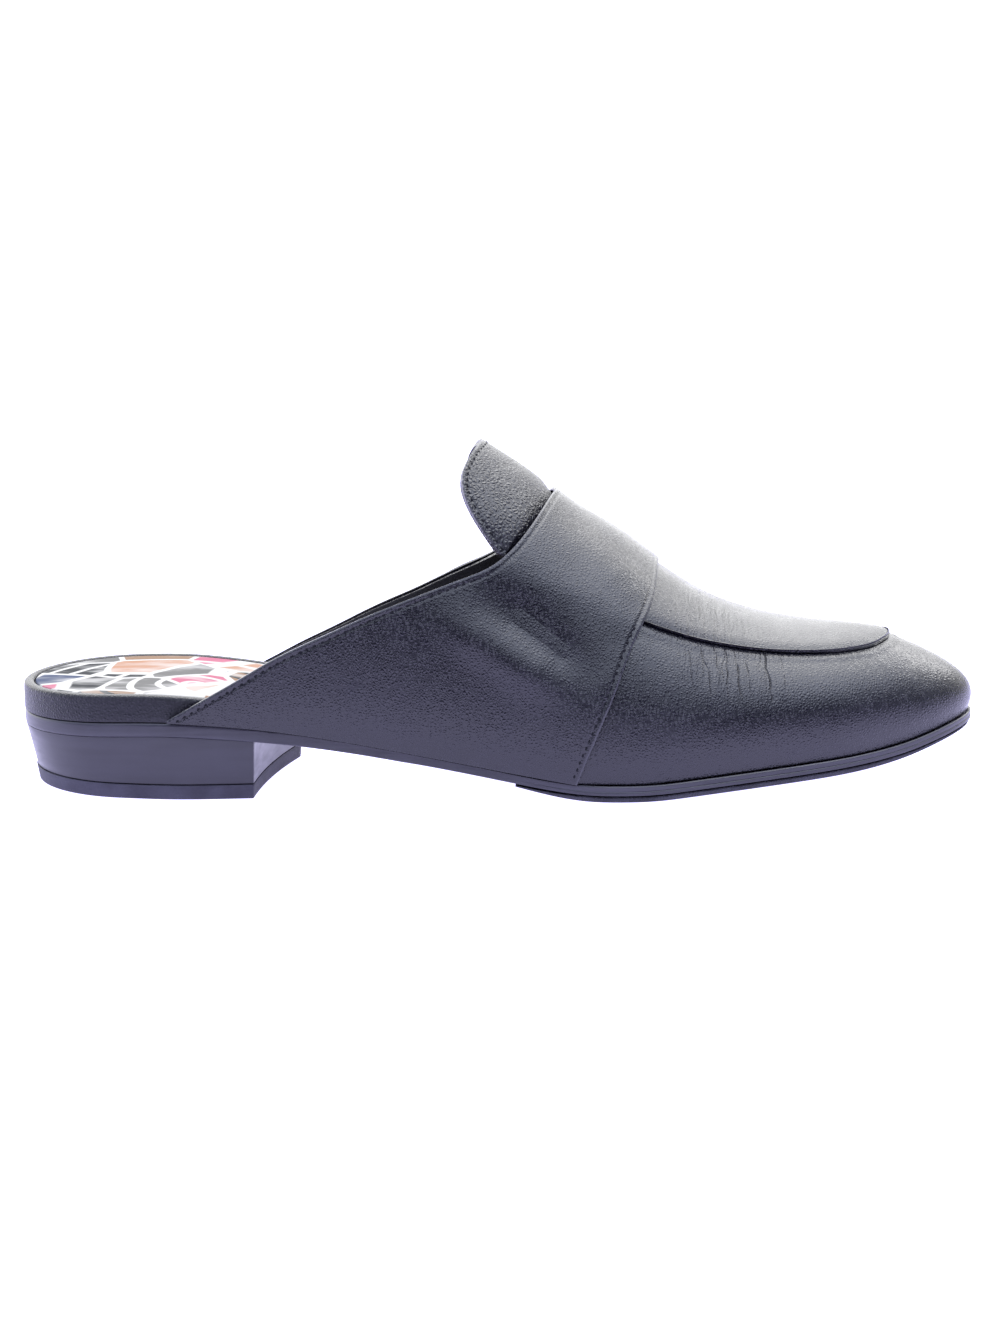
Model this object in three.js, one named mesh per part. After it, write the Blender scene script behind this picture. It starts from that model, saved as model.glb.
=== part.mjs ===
// A right-foot backless loafer in black leather: low stacked heel, leather-wrapped footbed, a saddle
// whose quarters rise into one broad strap over the instep, and an apron that ends under the strap,
// behind which the tongue stands up. Millimetres, +Z up, +X to the toe, +Y to the inner side.
// The last is one function of the way round the outline and of girth, and each piece is laid on it.
import * as THREE from "three";

// Driving sizes
const LENGTH = 264; // heel's back to the toe's tip
const BALL_WIDTH = 79.5; // widest line across the ball
const HEEL_WIDTH = 62; // widest line across the quarters' rear ends
const SEAT_HEIGHT = 22; // floor to the top of the outsole, at its highest over the heel
const TOE_SPRING = 12.5; // unit of the sole's rise towards the toe's tip
const INSTEP_RISE = 57; // widest line to the ridge, under the strap's rear edge
const TOE_RISE = 21; // widest line to the ridge, over the toes
const WALL_REACH = 12; // feather edge up to the widest line, at the waist
const TUCK = 2; // unit of how far the feather edge lies inside the widest line
const EDGE_LIFT = 1.5; // rise of the forepart's edge above its flat middle

// Thicknesses and clearances
const GAP = 0.3; // between two pieces that touch
const VAMP_WALL = 1.8; // leather and lining of the vamp
const LINING_WALL = 1.2; // lining of the quarters, under the saddle
const SADDLE_WALL = 1.2;
const APRON_WALL = 1;
const TONGUE_WALL = 2.2;
const TONGUE_RISE = 3.4; // the tongue's top above the last, at its free end
const SOLE_WALL = 2.8; // outsole at the forepart
const SOLE_SEAT_WALL = 3.8; // outsole over the heel
const TREAD_WALL = 1.6; // rubber under the forepart
const TREAD_INSET = 0.6; // tread's edge inside the outsole's
const EDGE_ROUND = 0.3; // how far the corners of sole and tread are cut back
const SOLE_LEDGE = 1; // outsole's edge beyond the feather edge, at the forepart
const SOLE_GROOVE = 0.2; // depth of the groove along the outsole's edge
const LIFT_WALL = 4; // rubber top lift under the heel
const LIFT_STEP = 0.25; // heel block's foot inside the top lift
const HEEL_STEP = 0.2; // heel block's top inside the outsole
const HEEL_TAPER = 2.8; // how far the heel's foot lies inside its top
const BREAST_TAPER = 1; // the same, at the breast
const HEEL_SPRING = 1.8; // rise of the top lift's foot at the very back
const BREAST_SKEW = 7.5; // how much further forward the breast is on the inner side
const BREAST_HOLLOW = 1.6; // depth of the breast's curve
const BED_WALL = 7.6; // footbed at the heel
const BED_ROUND = 1; // rounding of the footbed's upper edge
const RIM_ROUND = 0.5; // rounding of its rim towards the sock lining
const RIM_WIDTH = 3; // wrapped rim outside the sock lining
const SOCK_WALL = 0.9;
const SOCK_ROUND = 0.3; // rounding of the sock lining's edge
const SOCK_SINK = 0.25; // sock lining's top below the rim's
const THROAT_COVER = 11; // how far the strap covers the upper's throat edge, at the ridge
const LINING_DROP = 0.6; // the lining's edge below the saddle's
const TONGUE_GAP = 0.45; // tongue's foot behind the throat's edge
const TONGUE_STEP = 0.75; // and above the lining, where the tongue comes out
const MOUTH_MARGIN = 0.5; // tongue's rise starts this far behind the strap

// Shares of LENGTH
const TOE_CENTRE = 0.841; // from here on the outline is rounded to the toe's tip
const HEEL_CENTRE = 0.114; // and from here on to the heel's back
const TOE_FAN = [0.758, 0.935]; // over which the sections turn from cross-wise to radial
const HEEL_FAN = [0.02, 0.25];
const HEEL_FRONT = 0.258; // the heel's breast, on the outer side
const HEEL_FLAT = 0.18; // from here forward the top lift stands flat
const HEEL_HUB = 0.19; // middle of the heel's foot and top, to which their rows run
const TREAD_START = 0.523;
const APRON_START = 0.622; // the apron's rear end, under the strap
const WALL_CHANGE = [0.56, 0.62]; // over which the upper thickens from lining to vamp

// Shares of other sizes
const WALL_SHARE = 0.2; // share of girth below the widest line
const FLAT_SHARE = 0.78; // share of the forepart's half-width that is flat
const MIDDLE_SHARES = [0, 0.42, FLAT_SHARE]; // rows of the plates inside their edges
const JUNCTION = 0.735; // way along the topline where the tongue comes out
const COVER_START = 0.65; // way from which the strap covers the throat's edge
const DROP_END = [0.8, 1]; // way over which the lining's drop runs out
const LIFT_START = [-0.2, 0.3]; // way over which the tongue's rise sets in
const MOUTH_LEAST = 0.12; // least share of the tongue's columns that keeps low at its foot
const SADDLE_RAMP = [0.48, 0.56]; // girth over which the saddle climbs on to the apron's level
const ROUND_MIDDLE = 0.3; // a rounding's middle point, inwards and down
const CORNER_SHARE = 0.1; // share of the outsole's wall that its corners take
const TREAD_CORNER = 0.2; // the same for the tread
const GROOVE_PLACE = 0.54; // groove's middle, below the outsole's top
const GROOVE_HALF = 0.08;
const HEEL_FOOT_ROWS = [0, 0.5, 1]; // from the hub to the edge
const HEEL_TOP_ROWS = [1, 0.75, 0.4, 0];
const SPRING_POWER = 1.2; // how late the top lift's rise sets in

// The last's sections. at: share of LENGTH. ball: how far the width follows BALL_WIDTH and not
// HEEL_WIDTH. outer, inner: half-widths. ridge: the ridge's offset, in BALL_WIDTHs. crown: squareness
// of the section's top.
const SECTIONS = [
  { at: 0, ball: 0, outer: 0.485, inner: 0.475, ridge: 0, crown: 2.2 },
  { at: 0.114, ball: 0, outer: 0.497, inner: 0.484, ridge: 0, crown: 2.2 },
  { at: 0.17, ball: 0, outer: 0.506, inner: 0.489, ridge: 0, crown: 2.2 },
  { at: 0.23, ball: 0, outer: 0.51, inner: 0.482, ridge: 0, crown: 2.2 },
  { at: 0.3, ball: 0.25, outer: 0.483, inner: 0.443, ridge: 0, crown: 2.2 },
  { at: 0.38, ball: 0.5, outer: 0.466, inner: 0.417, ridge: 0.002, crown: 2.15 },
  { at: 0.455, ball: 0.75, outer: 0.465, inner: 0.415, ridge: 0.008, crown: 2.05 },
  { at: 0.53, ball: 1, outer: 0.473, inner: 0.44, ridge: 0.019, crown: 2 },
  { at: 0.587, ball: 1, outer: 0.489, inner: 0.469, ridge: 0.027, crown: 2 },
  { at: 0.64, ball: 1, outer: 0.499, inner: 0.49, ridge: 0.033, crown: 2 },
  { at: 0.69, ball: 1, outer: 0.492, inner: 0.502, ridge: 0.037, crown: 2.06 },
  { at: 0.74, ball: 1, outer: 0.463, inner: 0.493, ridge: 0.038, crown: 2.12 },
  { at: 0.795, ball: 1, outer: 0.413, inner: 0.459, ridge: 0.038, crown: 2.15 },
  { at: 0.841, ball: 1, outer: 0.364, inner: 0.41, ridge: 0.04, crown: 2.12 },
  { at: 0.909, ball: 1, outer: 0.288, inner: 0.362, ridge: 0.055, crown: 2.05 },
  { at: 0.955, ball: 1, outer: 0.25, inner: 0.342, ridge: 0.065, crown: 2 },
  { at: 1, ball: 1, outer: 0.218, inner: 0.333, ridge: 0.075, crown: 2 },
];

// The last's wall below its widest line. outer, inner: how far it tucks in, in TUCKs. wall: its
// height, in WALL_REACHes.
const WALLS = [
  { at: 0, outer: 0.2, inner: 0.2, wall: 1 },
  { at: 0.114, outer: 0.2, inner: 0.2, wall: 1 },
  { at: 0.17, outer: 0.25, inner: 0.4, wall: 1 },
  { at: 0.23, outer: 0.55, inner: 1.1, wall: 1 },
  { at: 0.3, outer: 0.9, inner: 1.9, wall: 1 },
  { at: 0.38, outer: 1.05, inner: 2.1, wall: 1 },
  { at: 0.455, outer: 1.05, inner: 2.2, wall: 1 },
  { at: 0.53, outer: 0.95, inner: 1.5, wall: 1 },
  { at: 0.587, outer: 0.8, inner: 1.05, wall: 0.95 },
  { at: 0.64, outer: 0.75, inner: 0.8, wall: 0.9 },
  { at: 0.69, outer: 0.72, inner: 0.7, wall: 0.85 },
  { at: 0.74, outer: 0.7, inner: 0.7, wall: 0.8 },
  { at: 0.795, outer: 0.68, inner: 0.68, wall: 0.76 },
  { at: 0.841, outer: 0.65, inner: 0.65, wall: 0.72 },
  { at: 0.909, outer: 0.6, inner: 0.6, wall: 0.6 },
  { at: 0.955, outer: 0.55, inner: 0.55, wall: 0.46 },
  { at: 1, outer: 0.5, inner: 0.5, wall: 0.36 },
];

// The ridge's height over the widest line, in INSTEP_RISEs and in TOE_RISEs.
const RIDGE = [
  { at: 0.15, instep: 1.386, toe: 0 },
  { at: 0.3, instep: 1.4, toe: 0 },
  { at: 0.38, instep: 1.375, toe: 0 },
  { at: 0.436, instep: 1.29, toe: 0 },
  { at: 0.492, instep: 1.17, toe: 0 },
  { at: 0.568, instep: 1, toe: 0 },
  { at: 0.625, instep: 0.778, toe: 0.2 },
  { at: 0.673, instep: 0.547, toe: 0.38 },
  { at: 0.714, instep: 0.35, toe: 0.54 },
  { at: 0.756, instep: 0.205, toe: 0.69 },
  { at: 0.795, instep: 0.102, toe: 0.83 },
  { at: 0.841, instep: 0.015, toe: 0.98 },
  { at: 0.902, instep: 0, toe: 0.985 },
  { at: 0.923, instep: 0, toe: 0.94 },
  { at: 0.943, instep: 0, toe: 0.865 },
  { at: 0.965, instep: 0, toe: 0.785 },
  { at: 1.0, instep: 0, toe: 0.65 },
];

// The sole. seat: the outsole's top, as a share of the drop from seat to ball. spring: its rise, in
// TOE_SPRINGs. lift: the edge's rise, in EDGE_LIFTs. under: how far its edge follows the rand, inside
// the feather edge. ledge: in SOLE_LEDGEs. thick: 1 for SOLE_SEAT_WALL, 0 for SOLE_WALL.
// tread: in TREAD_WALLs. bed: footbed's thickness, in BED_WALLs.
const SOLE = [
  { at: 0, seat: 0.962, spring: 0, lift: 0, under: 1, ledge: 0, thick: 1, tread: 0.2, bed: 1 },
  { at: 0.08, seat: 0.99, spring: 0, lift: 0, under: 1.02, ledge: 0, thick: 1, tread: 0.2, bed: 0.98 },
  { at: 0.16, seat: 1, spring: 0, lift: 0, under: 1.04, ledge: 0, thick: 1, tread: 0.2, bed: 0.96 },
  { at: 0.216, seat: 0.95, spring: 0, lift: 0, under: 1.12, ledge: 0, thick: 1, tread: 0.2, bed: 0.9 },
  { at: 0.26, seat: 0.885, spring: 0, lift: 0, under: 1.3, ledge: 0, thick: 0.9, tread: 0.2, bed: 0.86 },
  { at: 0.317, seat: 0.757, spring: 0, lift: 0.05, under: 1.49, ledge: 0, thick: 0.5, tread: 0.2, bed: 0.78 },
  { at: 0.388, seat: 0.562, spring: 0, lift: 0.25, under: 1.43, ledge: 0, thick: 0.15, tread: 0.2, bed: 0.68 },
  { at: 0.459, seat: 0.357, spring: 0, lift: 0.55, under: 1.11, ledge: 0.01, thick: 0, tread: 0.2, bed: 0.62 },
  { at: 0.506, seat: 0.224, spring: 0, lift: 0.75, under: 0.74, ledge: 0.08, thick: 0, tread: 0.2, bed: 0.59 },
  { at: 0.545, seat: 0.107, spring: 0, lift: 0.9, under: 0.39, ledge: 0.3, thick: 0, tread: 0.55, bed: 0.56 },
  { at: 0.565, seat: 0.05, spring: 0, lift: 0.96, under: 0.22, ledge: 0.55, thick: 0, tread: 0.83, bed: 0.54 },
  { at: 0.582, seat: 0.01, spring: 0, lift: 1, under: 0.11, ledge: 0.76, thick: 0, tread: 0.98, bed: 0.53 },
  { at: 0.592, seat: 0, spring: 0, lift: 1, under: 0.05, ledge: 0.83, thick: 0, tread: 1, bed: 0.53 },
  { at: 0.655, seat: 0, spring: 0, lift: 1, under: 0, ledge: 1, thick: 0, tread: 1, bed: 0.51 },
  { at: 0.68, seat: 0, spring: 0.06, lift: 1, under: 0, ledge: 1, thick: 0, tread: 1, bed: 0.51 },
  { at: 0.717, seat: 0, spring: 0.135, lift: 1, under: 0, ledge: 1, thick: 0, tread: 1, bed: 0.5 },
  { at: 0.762, seat: 0, spring: 0.21, lift: 1, under: 0, ledge: 1, thick: 0, tread: 1, bed: 0.5 },
  { at: 0.81, seat: 0, spring: 0.275, lift: 1, under: 0, ledge: 1, thick: 0, tread: 1, bed: 0.49 },
  { at: 0.855, seat: 0, spring: 0.34, lift: 1, under: 0, ledge: 1, thick: 0, tread: 1, bed: 0.48 },
  { at: 0.893, seat: 0, spring: 0.412, lift: 1, under: 0, ledge: 1, thick: 0, tread: 0.9, bed: 0.48 },
  { at: 0.925, seat: 0, spring: 0.51, lift: 1, under: 0, ledge: 1, thick: 0, tread: 0.75, bed: 0.47 },
  { at: 0.959, seat: 0, spring: 0.68, lift: 1, under: 0, ledge: 1, thick: 0, tread: 0.6, bed: 0.47 },
  { at: 0.982, seat: 0, spring: 0.79, lift: 1, under: 0, ledge: 1, thick: 0, tread: 0.49, bed: 0.46 },
  { at: 1, seat: 0, spring: 0.87, lift: 1, under: 0, ledge: 1, thick: 0, tread: 0.4, bed: 0.46 },
];

// The saddle's rear edge, the topline, from the feather edge (way 0) to the ridge (way 1).
const TOPLINE = [
  { way: 0, outerAt: 0.1715, outerGirth: 0.013, innerAt: 0.2095, innerGirth: 0.013 },
  { way: 0.06, outerAt: 0.19, outerGirth: 0.066, innerAt: 0.2285, innerGirth: 0.066 },
  { way: 0.12, outerAt: 0.22, outerGirth: 0.15, innerAt: 0.261, innerGirth: 0.15 },
  { way: 0.155, outerAt: 0.2395, outerGirth: 0.2, innerAt: 0.279, innerGirth: 0.199 },
  { way: 0.2, outerAt: 0.26, outerGirth: 0.219, innerAt: 0.2955, innerGirth: 0.213 },
  { way: 0.245, outerAt: 0.28, outerGirth: 0.24, innerAt: 0.3155, innerGirth: 0.23 },
  { way: 0.267, outerAt: 0.2914, outerGirth: 0.251, innerAt: 0.326, innerGirth: 0.24 },
  { way: 0.355, outerAt: 0.334, outerGirth: 0.292, innerAt: 0.357, innerGirth: 0.274 },
  { way: 0.413, outerAt: 0.3628, outerGirth: 0.324, innerAt: 0.3775, innerGirth: 0.296 },
  { way: 0.511, outerAt: 0.4115, outerGirth: 0.384, innerAt: 0.4115, innerGirth: 0.337 },
  { way: 0.592, outerAt: 0.4514, outerGirth: 0.446, innerAt: 0.4514, innerGirth: 0.403 },
  { way: 0.644, outerAt: 0.4775, outerGirth: 0.491, innerAt: 0.4775, innerGirth: 0.451 },
  { way: 0.715, outerAt: 0.512, outerGirth: 0.56, innerAt: 0.512, innerGirth: 0.522 },
  { way: 0.755, outerAt: 0.523, outerGirth: 0.612, innerAt: 0.524, innerGirth: 0.585 },
  { way: 0.79, outerAt: 0.5326, outerGirth: 0.662, innerAt: 0.534, innerGirth: 0.645 },
  { way: 0.845, outerAt: 0.5433, outerGirth: 0.742, innerAt: 0.5445, innerGirth: 0.735 },
  { way: 0.91, outerAt: 0.5525, outerGirth: 0.848, innerAt: 0.553, innerGirth: 0.845 },
  { way: 1, outerAt: 0.5605, outerGirth: 1, innerAt: 0.5605, innerGirth: 1 },
];

// The saddle's front edge, over the vamp.
const SADDLE_FRONT = [
  { way: 0.0, outerAt: 0.586, outerGirth: 0, innerAt: 0.598, innerGirth: 0 },
  { way: 0.127, outerAt: 0.6005, outerGirth: 0.177, innerAt: 0.611, innerGirth: 0.177 },
  { way: 0.256, outerAt: 0.6162, outerGirth: 0.286, innerAt: 0.6255, innerGirth: 0.286 },
  { way: 0.337, outerAt: 0.6257, outerGirth: 0.354, innerAt: 0.634, innerGirth: 0.354 },
  { way: 0.485, outerAt: 0.6399, outerGirth: 0.489, innerAt: 0.6455, innerGirth: 0.489 },
  { way: 0.617, outerAt: 0.6537, outerGirth: 0.618, innerAt: 0.6565, innerGirth: 0.618 },
  { way: 0.694, outerAt: 0.6596, outerGirth: 0.695, innerAt: 0.661, innerGirth: 0.695 },
  { way: 1.0, outerAt: 0.6663, outerGirth: 1, innerAt: 0.6663, innerGirth: 1 },
];

// The tongue's free edge, from the topline (way 0) to the ridge (way 1).
const TONGUE_EDGE = [
  { way: 0.0, outerAt: 0.509, outerGirth: 0.583, innerAt: 0.509, innerGirth: 0.555 },
  { way: 0.091, outerAt: 0.4994, outerGirth: 0.602, innerAt: 0.4994, innerGirth: 0.58 },
  { way: 0.213, outerAt: 0.4867, outerGirth: 0.628, innerAt: 0.4867, innerGirth: 0.615 },
  { way: 0.355, outerAt: 0.4742, outerGirth: 0.67, innerAt: 0.4742, innerGirth: 0.662 },
  { way: 0.465, outerAt: 0.4685, outerGirth: 0.712, innerAt: 0.4685, innerGirth: 0.708 },
  { way: 0.55, outerAt: 0.4689, outerGirth: 0.753, innerAt: 0.4689, innerGirth: 0.75 },
  { way: 0.715, outerAt: 0.4756, outerGirth: 0.845, innerAt: 0.4756, innerGirth: 0.845 },
  { way: 0.932, outerAt: 0.4831, outerGirth: 0.969, innerAt: 0.4831, innerGirth: 0.969 },
  { way: 1.0, outerAt: 0.4838, outerGirth: 1, innerAt: 0.4838, innerGirth: 1 },
];

// The apron's seam: girth by the outline's place.
const APRON_SEAM = [
  { at: 0.6, outer: 0.59, inner: 0.59 },
  { at: 0.6555, outer: 0.596, inner: 0.598 },
  { at: 0.6881, outer: 0.612, inner: 0.612 },
  { at: 0.7287, outer: 0.64, inner: 0.636 },
  { at: 0.7696, outer: 0.657, inner: 0.652 },
  { at: 0.8143, outer: 0.671, inner: 0.666 },
  { at: 0.866, outer: 0.685, inner: 0.681 },
  { at: 0.9176, outer: 0.705, inner: 0.703 },
  { at: 0.9624, outer: 0.74, inner: 0.738 },
  { at: 1.0, outer: 0.775, inner: 0.775 },
];

// The tongue's rows from its foot to its free edge. under: share of the part that keeps low below the
// strap. free: share of the rest. lift: height over the last, in TONGUE_RISEs.
const TONGUE_ROWS = [
  { under: 0, free: 0, lift: 0 },
  { under: 0.5, free: 0, lift: 0.08 },
  { under: 1, free: 0, lift: 0.25 },
  { under: 1, free: 0.12, lift: 0.74 },
  { under: 1, free: 0.4, lift: 0.87 },
  { under: 1, free: 0.7, lift: 0.95 },
  { under: 1, free: 1, lift: 1 },
];

// Mesh density
const SIDE_STEPS = 8; // columns along each side of the vamp
const THROAT_STEPS = 13; // columns along each free edge of the upper
const WAIST_STEPS = 9; // columns of sole and footbed from the heel's rounding to the tread
const BALL_STEPS = 9; // and from the tread's start to the toe's rounding
const ROUND_STEPS = 8; // and round each half of the toe or the heel
const TOE_STEPS = 12; // columns round each half of the toe
const GIRTH_STEPS = 10; // rows up the upper
const APRON_ROWS = 6;
const BAND_COLUMNS = 20; // columns from the feather edge to the ridge, on the saddle
const BAND_ROWS = 8; // rows from the saddle's rear edge to its front
const TONGUE_COLUMNS = 9;
const BREAST_STEPS = 6;
const HEEL_STEPS = 16; // columns round each half of the heel block
const END_CROWDING = 0.6; // how far the saddle's columns crowd towards the feather edge and the ridge
const RIDGE_CROWDING = 1.15; // power by which the upper's crowd towards the ridge
const STATION_STEP = 0.1; // steps for measuring directions and distances
const GIRTH_STEP = 0.0005;
const SHIFT_STEP = 0.005;
const RIDGE_STEP = 0.5;
const CORNER_GRID = 0.0002; // corners nearer than this are one
const TIE = 0.001; // of two diagonals as alike as this, the first is kept

// Smooth curve through one column of a table that never overshoots its rows.
function curve(table, column, key = "at") {
  const last = table.length - 1;
  const secant = [];
  for (let i = 0; i < last; i++) {
    const rise = table[i + 1][column] - table[i][column];
    secant.push(rise / (table[i + 1][key] - table[i][key]));
  }
  const slope = table.map((row, i) => {
    if (i === 0) return secant[0];
    if (i === last) return secant[last - 1];
    const product = secant[i - 1] * secant[i];
    return product <= 0 ? 0 : (2 * product) / (secant[i - 1] + secant[i]);
  });
  return (at) => {
    if (at <= table[0][key]) return table[0][column];
    if (at >= table[last][key]) return table[last][column];
    let i = 0;
    while (table[i + 1][key] < at) i++;
    const span = table[i + 1][key] - table[i][key];
    const t = (at - table[i][key]) / span;
    const s = t * t * (3 - 2 * t);
    const ends = table[i][column] * (1 - s) + table[i + 1][column] * s;
    return ends + span * t * (1 - t) * ((1 - t) * slope[i] - t * slope[i + 1]);
  };
}

// All columns of a table as curves, by name.
function curves(table, key = "at") {
  const named = {};
  for (const column of Object.keys(table[0])) {
    if (column !== key) named[column] = curve(table, column, key);
  }
  return named;
}

const section = curves(SECTIONS);
const wall = curves(WALLS);
const ridge = curves(RIDGE);
const sole = curves(SOLE);
const topline = curves(TOPLINE, "way");
const saddleFront = curves(SADDLE_FRONT, "way");
const tongueEdge = curves(TONGUE_EDGE, "way");
const apronSeam = curves(APRON_SEAM);

// 0 before the range, 1 after it, smooth between.
function ramp(value, [from, to]) {
  const t = Math.min(1, Math.max(0, (value - from) / (to - from)));
  return t * t * (3 - 2 * t);
}

const mix = (a, b, t) => a.map((value, i) => value + (b[i] - value) * t);
const minus = (a, b) => a.map((value, i) => value - b[i]);
const cross = (a, b) => [a[1] * b[2] - a[2] * b[1], a[2] * b[0] - a[0] * b[2], a[0] * b[1] - a[1] * b[0]];
const unit = (a) => a.map((value) => value / Math.hypot(...a));
const distance = (a, b) => Math.hypot(...minus(a, b));

// The outline is walked by station: millimetres from the toe's tip, negative on the outer side.
const TOE_X = TOE_CENTRE * LENGTH;
const HEEL_X = HEEL_CENTRE * LENGTH;
const TOE_REACH = LENGTH - TOE_X;
const TOE_WALK = (TOE_REACH * Math.PI) / 2;
const SIDE_WALK = TOE_X - HEEL_X;
const HEEL_REACH = HEEL_X + LINING_WALL + GAP;
const HEEL_WALK = (HEEL_REACH * Math.PI) / 2;
const HALF_WALK = TOE_WALK + SIDE_WALK + HEEL_WALK;
const BALL_HEIGHT = SOLE_WALL + GAP + TREAD_WALL;

// Place along the shoe of a station, and how far the rounding has narrowed the outline there.
function walk(station) {
  const way = Math.abs(station);
  if (way < TOE_WALK) {
    const turn = Math.PI / 2 - way / TOE_REACH;
    return { x: TOE_X + TOE_REACH * Math.sin(turn), narrow: Math.cos(turn) };
  }
  if (way <= TOE_WALK + SIDE_WALK) return { x: TOE_X + TOE_WALK - way, narrow: 1 };
  const turn = (way - TOE_WALK - SIDE_WALK) / HEEL_REACH;
  return { x: HEEL_X - HEEL_REACH * Math.sin(turn), narrow: Math.max(0, Math.cos(turn)) };
}

// Station of a place along the shoe, on the outer (-1) or inner (1) side.
function stationAt(x, side) {
  if (x > TOE_X) return side * TOE_REACH * (Math.PI / 2 - Math.asin(Math.min(1, (x - TOE_X) / TOE_REACH)));
  if (x >= HEEL_X) return side * (TOE_WALK + TOE_X - x);
  return side * (TOE_WALK + SIDE_WALK + HEEL_REACH * Math.asin(Math.min(1, (HEEL_X - x) / HEEL_REACH)));
}

// Where on the middle line the section through an outline place starts: straight across along the
// sides, from one centre round the toe and the heel.
function spineX(x) {
  const [toeFrom, toeTo] = TOE_FAN.map((share) => share * LENGTH);
  const [heelTo, heelFrom] = HEEL_FAN.map((share) => share * LENGTH);
  if (x > toeTo) return (toeFrom + toeTo) / 2;
  if (x > toeFrom) return x - (x - toeFrom) ** 2 / (2 * (toeTo - toeFrom));
  if (x < heelTo) return (heelFrom + heelTo) / 2;
  if (x < heelFrom) return x + (heelFrom - x) ** 2 / (2 * (heelFrom - heelTo));
  return x;
}

const ridgeY = (x) => section.ridge(x / LENGTH) * BALL_WIDTH;

// Top of the outsole on its middle line and the extra height of its edge.
function soleMiddle(x) {
  const at = x / LENGTH;
  return BALL_HEIGHT + (SEAT_HEIGHT - BALL_HEIGHT) * sole.seat(at) + TOE_SPRING * sole.spring(at);
}
const edgeLift = (x) => EDGE_LIFT * sole.lift(x / LENGTH);
const featherZ = (x) => soleMiddle(x) + edgeLift(x) + GAP;
const wallReach = (x) => WALL_REACH * wall.wall(x / LENGTH);

// Height of the ridge.
function ridgeZ(x) {
  const at = x / LENGTH;
  return featherZ(x) + wallReach(x) + INSTEP_RISE * ridge.instep(at) + TOE_RISE * ridge.toe(at);
}

// The section at a station: its start on the middle line, its widest point and its tuck.
function sectionAt(station) {
  const { x, narrow } = walk(station);
  const at = x / LENGTH;
  const outer = station < 0;
  const width = HEEL_WIDTH + (BALL_WIDTH - HEEL_WIDTH) * section.ball(at);
  const half = width * (outer ? -section.outer(at) : section.inner(at));
  const middle = ridgeY(x);
  const spine = [spineX(x), ridgeY(spineX(x))];
  const widest = [x, middle + (half - middle) * narrow];
  const tuck = TUCK * (outer ? wall.outer(at) : wall.inner(at));
  const reach = distance(widest, spine);
  return { x, spine, widest, tuck, reach, crown: section.crown(at) };
}

// A point of the last, by station and girth: 0 at the feather edge, 1 on the ridge.
function last(station, girth) {
  const { x, spine, widest, tuck, reach, crown } = sectionAt(station);
  if (girth <= WALL_SHARE) {
    const up = girth / WALL_SHARE;
    const point = mix(spine, widest, 1 - (tuck * (1 - up) ** 2) / reach);
    return [point[0], point[1], featherZ(point[0]) + wallReach(x) * up];
  }
  const turn = (Math.min(1, (girth - WALL_SHARE) / (1 - WALL_SHARE)) * Math.PI) / 2;
  const point = mix(spine, widest, Math.max(0, Math.cos(turn)) ** (2 / crown));
  const foot = featherZ(x) + wallReach(x);
  return [point[0], point[1], foot + (ridgeZ(point[0]) - foot) * Math.sin(turn) ** (2 / crown)];
}

// The last's outward direction, turned level at the feather edge so that walls stand on the sole.
function outward(station, girth) {
  if (girth > 1 - 2 * GIRTH_STEP) {
    const x = spineX(walk(station).x);
    return unit([ridgeZ(x - RIDGE_STEP) - ridgeZ(x + RIDGE_STEP), 0, 2 * RIDGE_STEP]);
  }
  const along = minus(last(station + STATION_STEP, girth), last(station - STATION_STEP, girth));
  const up = minus(last(station, girth + GIRTH_STEP), last(station, Math.max(0, girth - GIRTH_STEP)));
  const normal = unit(cross(along, up));
  return unit([normal[0], normal[1], normal[2] * ramp(girth, [0, WALL_SHARE / 2])]);
}

// A point at a height over the last's surface.
function skin(station, girth, height) {
  const out = outward(station, girth);
  return last(station, girth).map((value, i) => value + out[i] * height);
}

// Collects faces, shares equal corners and drops faces that lie back to back.
class Faces {
  constructor() {
    this.points = [];
    this.seen = new Map();
    this.triangles = new Map();
  }
  corner(point) {
    const key = point.map((value) => Math.round(value / CORNER_GRID)).join(" ");
    if (!this.seen.has(key)) {
      this.seen.set(key, this.points.length);
      this.points.push(point);
    }
    return this.seen.get(key);
  }
  triangle(a, b, c) {
    if (a === b || b === c || c === a) return;
    const key = [a, b, c].sort((p, q) => p - q).join(" ");
    if (this.triangles.has(key)) this.triangles.delete(key);
    else this.triangles.set(key, [a, b, c]);
  }
  quad(...points) {
    const corners = points.map((point) => this.corner(point));
    const lowest = corners.indexOf(Math.min(...corners));
    const span = (i) => distance(points[i % 4], points[(i + 2) % 4]);
    const first = span(lowest) < span(lowest + 1) + TIE ? lowest : lowest + 1;
    const [a, b, c, d] = [0, 1, 2, 3].map((i) => corners[(first + i) % 4]);
    this.triangle(a, b, c);
    this.triangle(a, c, d);
  }
  geometry() {
    const faces = [...this.triangles.values()];
    let volume = 0;
    for (const [a, b, c] of faces) {
      const normal = cross(this.points[b], this.points[c]);
      volume += this.points[a].reduce((sum, value, i) => sum + value * normal[i], 0);
    }
    const index = faces.flatMap(([a, b, c]) => (volume > 0 ? [a, b, c] : [a, c, b]));
    const geometry = new THREE.BufferGeometry();
    geometry.setAttribute("position", new THREE.Float32BufferAttribute(this.points.flat(), 3));
    geometry.setIndex(index);
    return geometry;
  }
}

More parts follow.
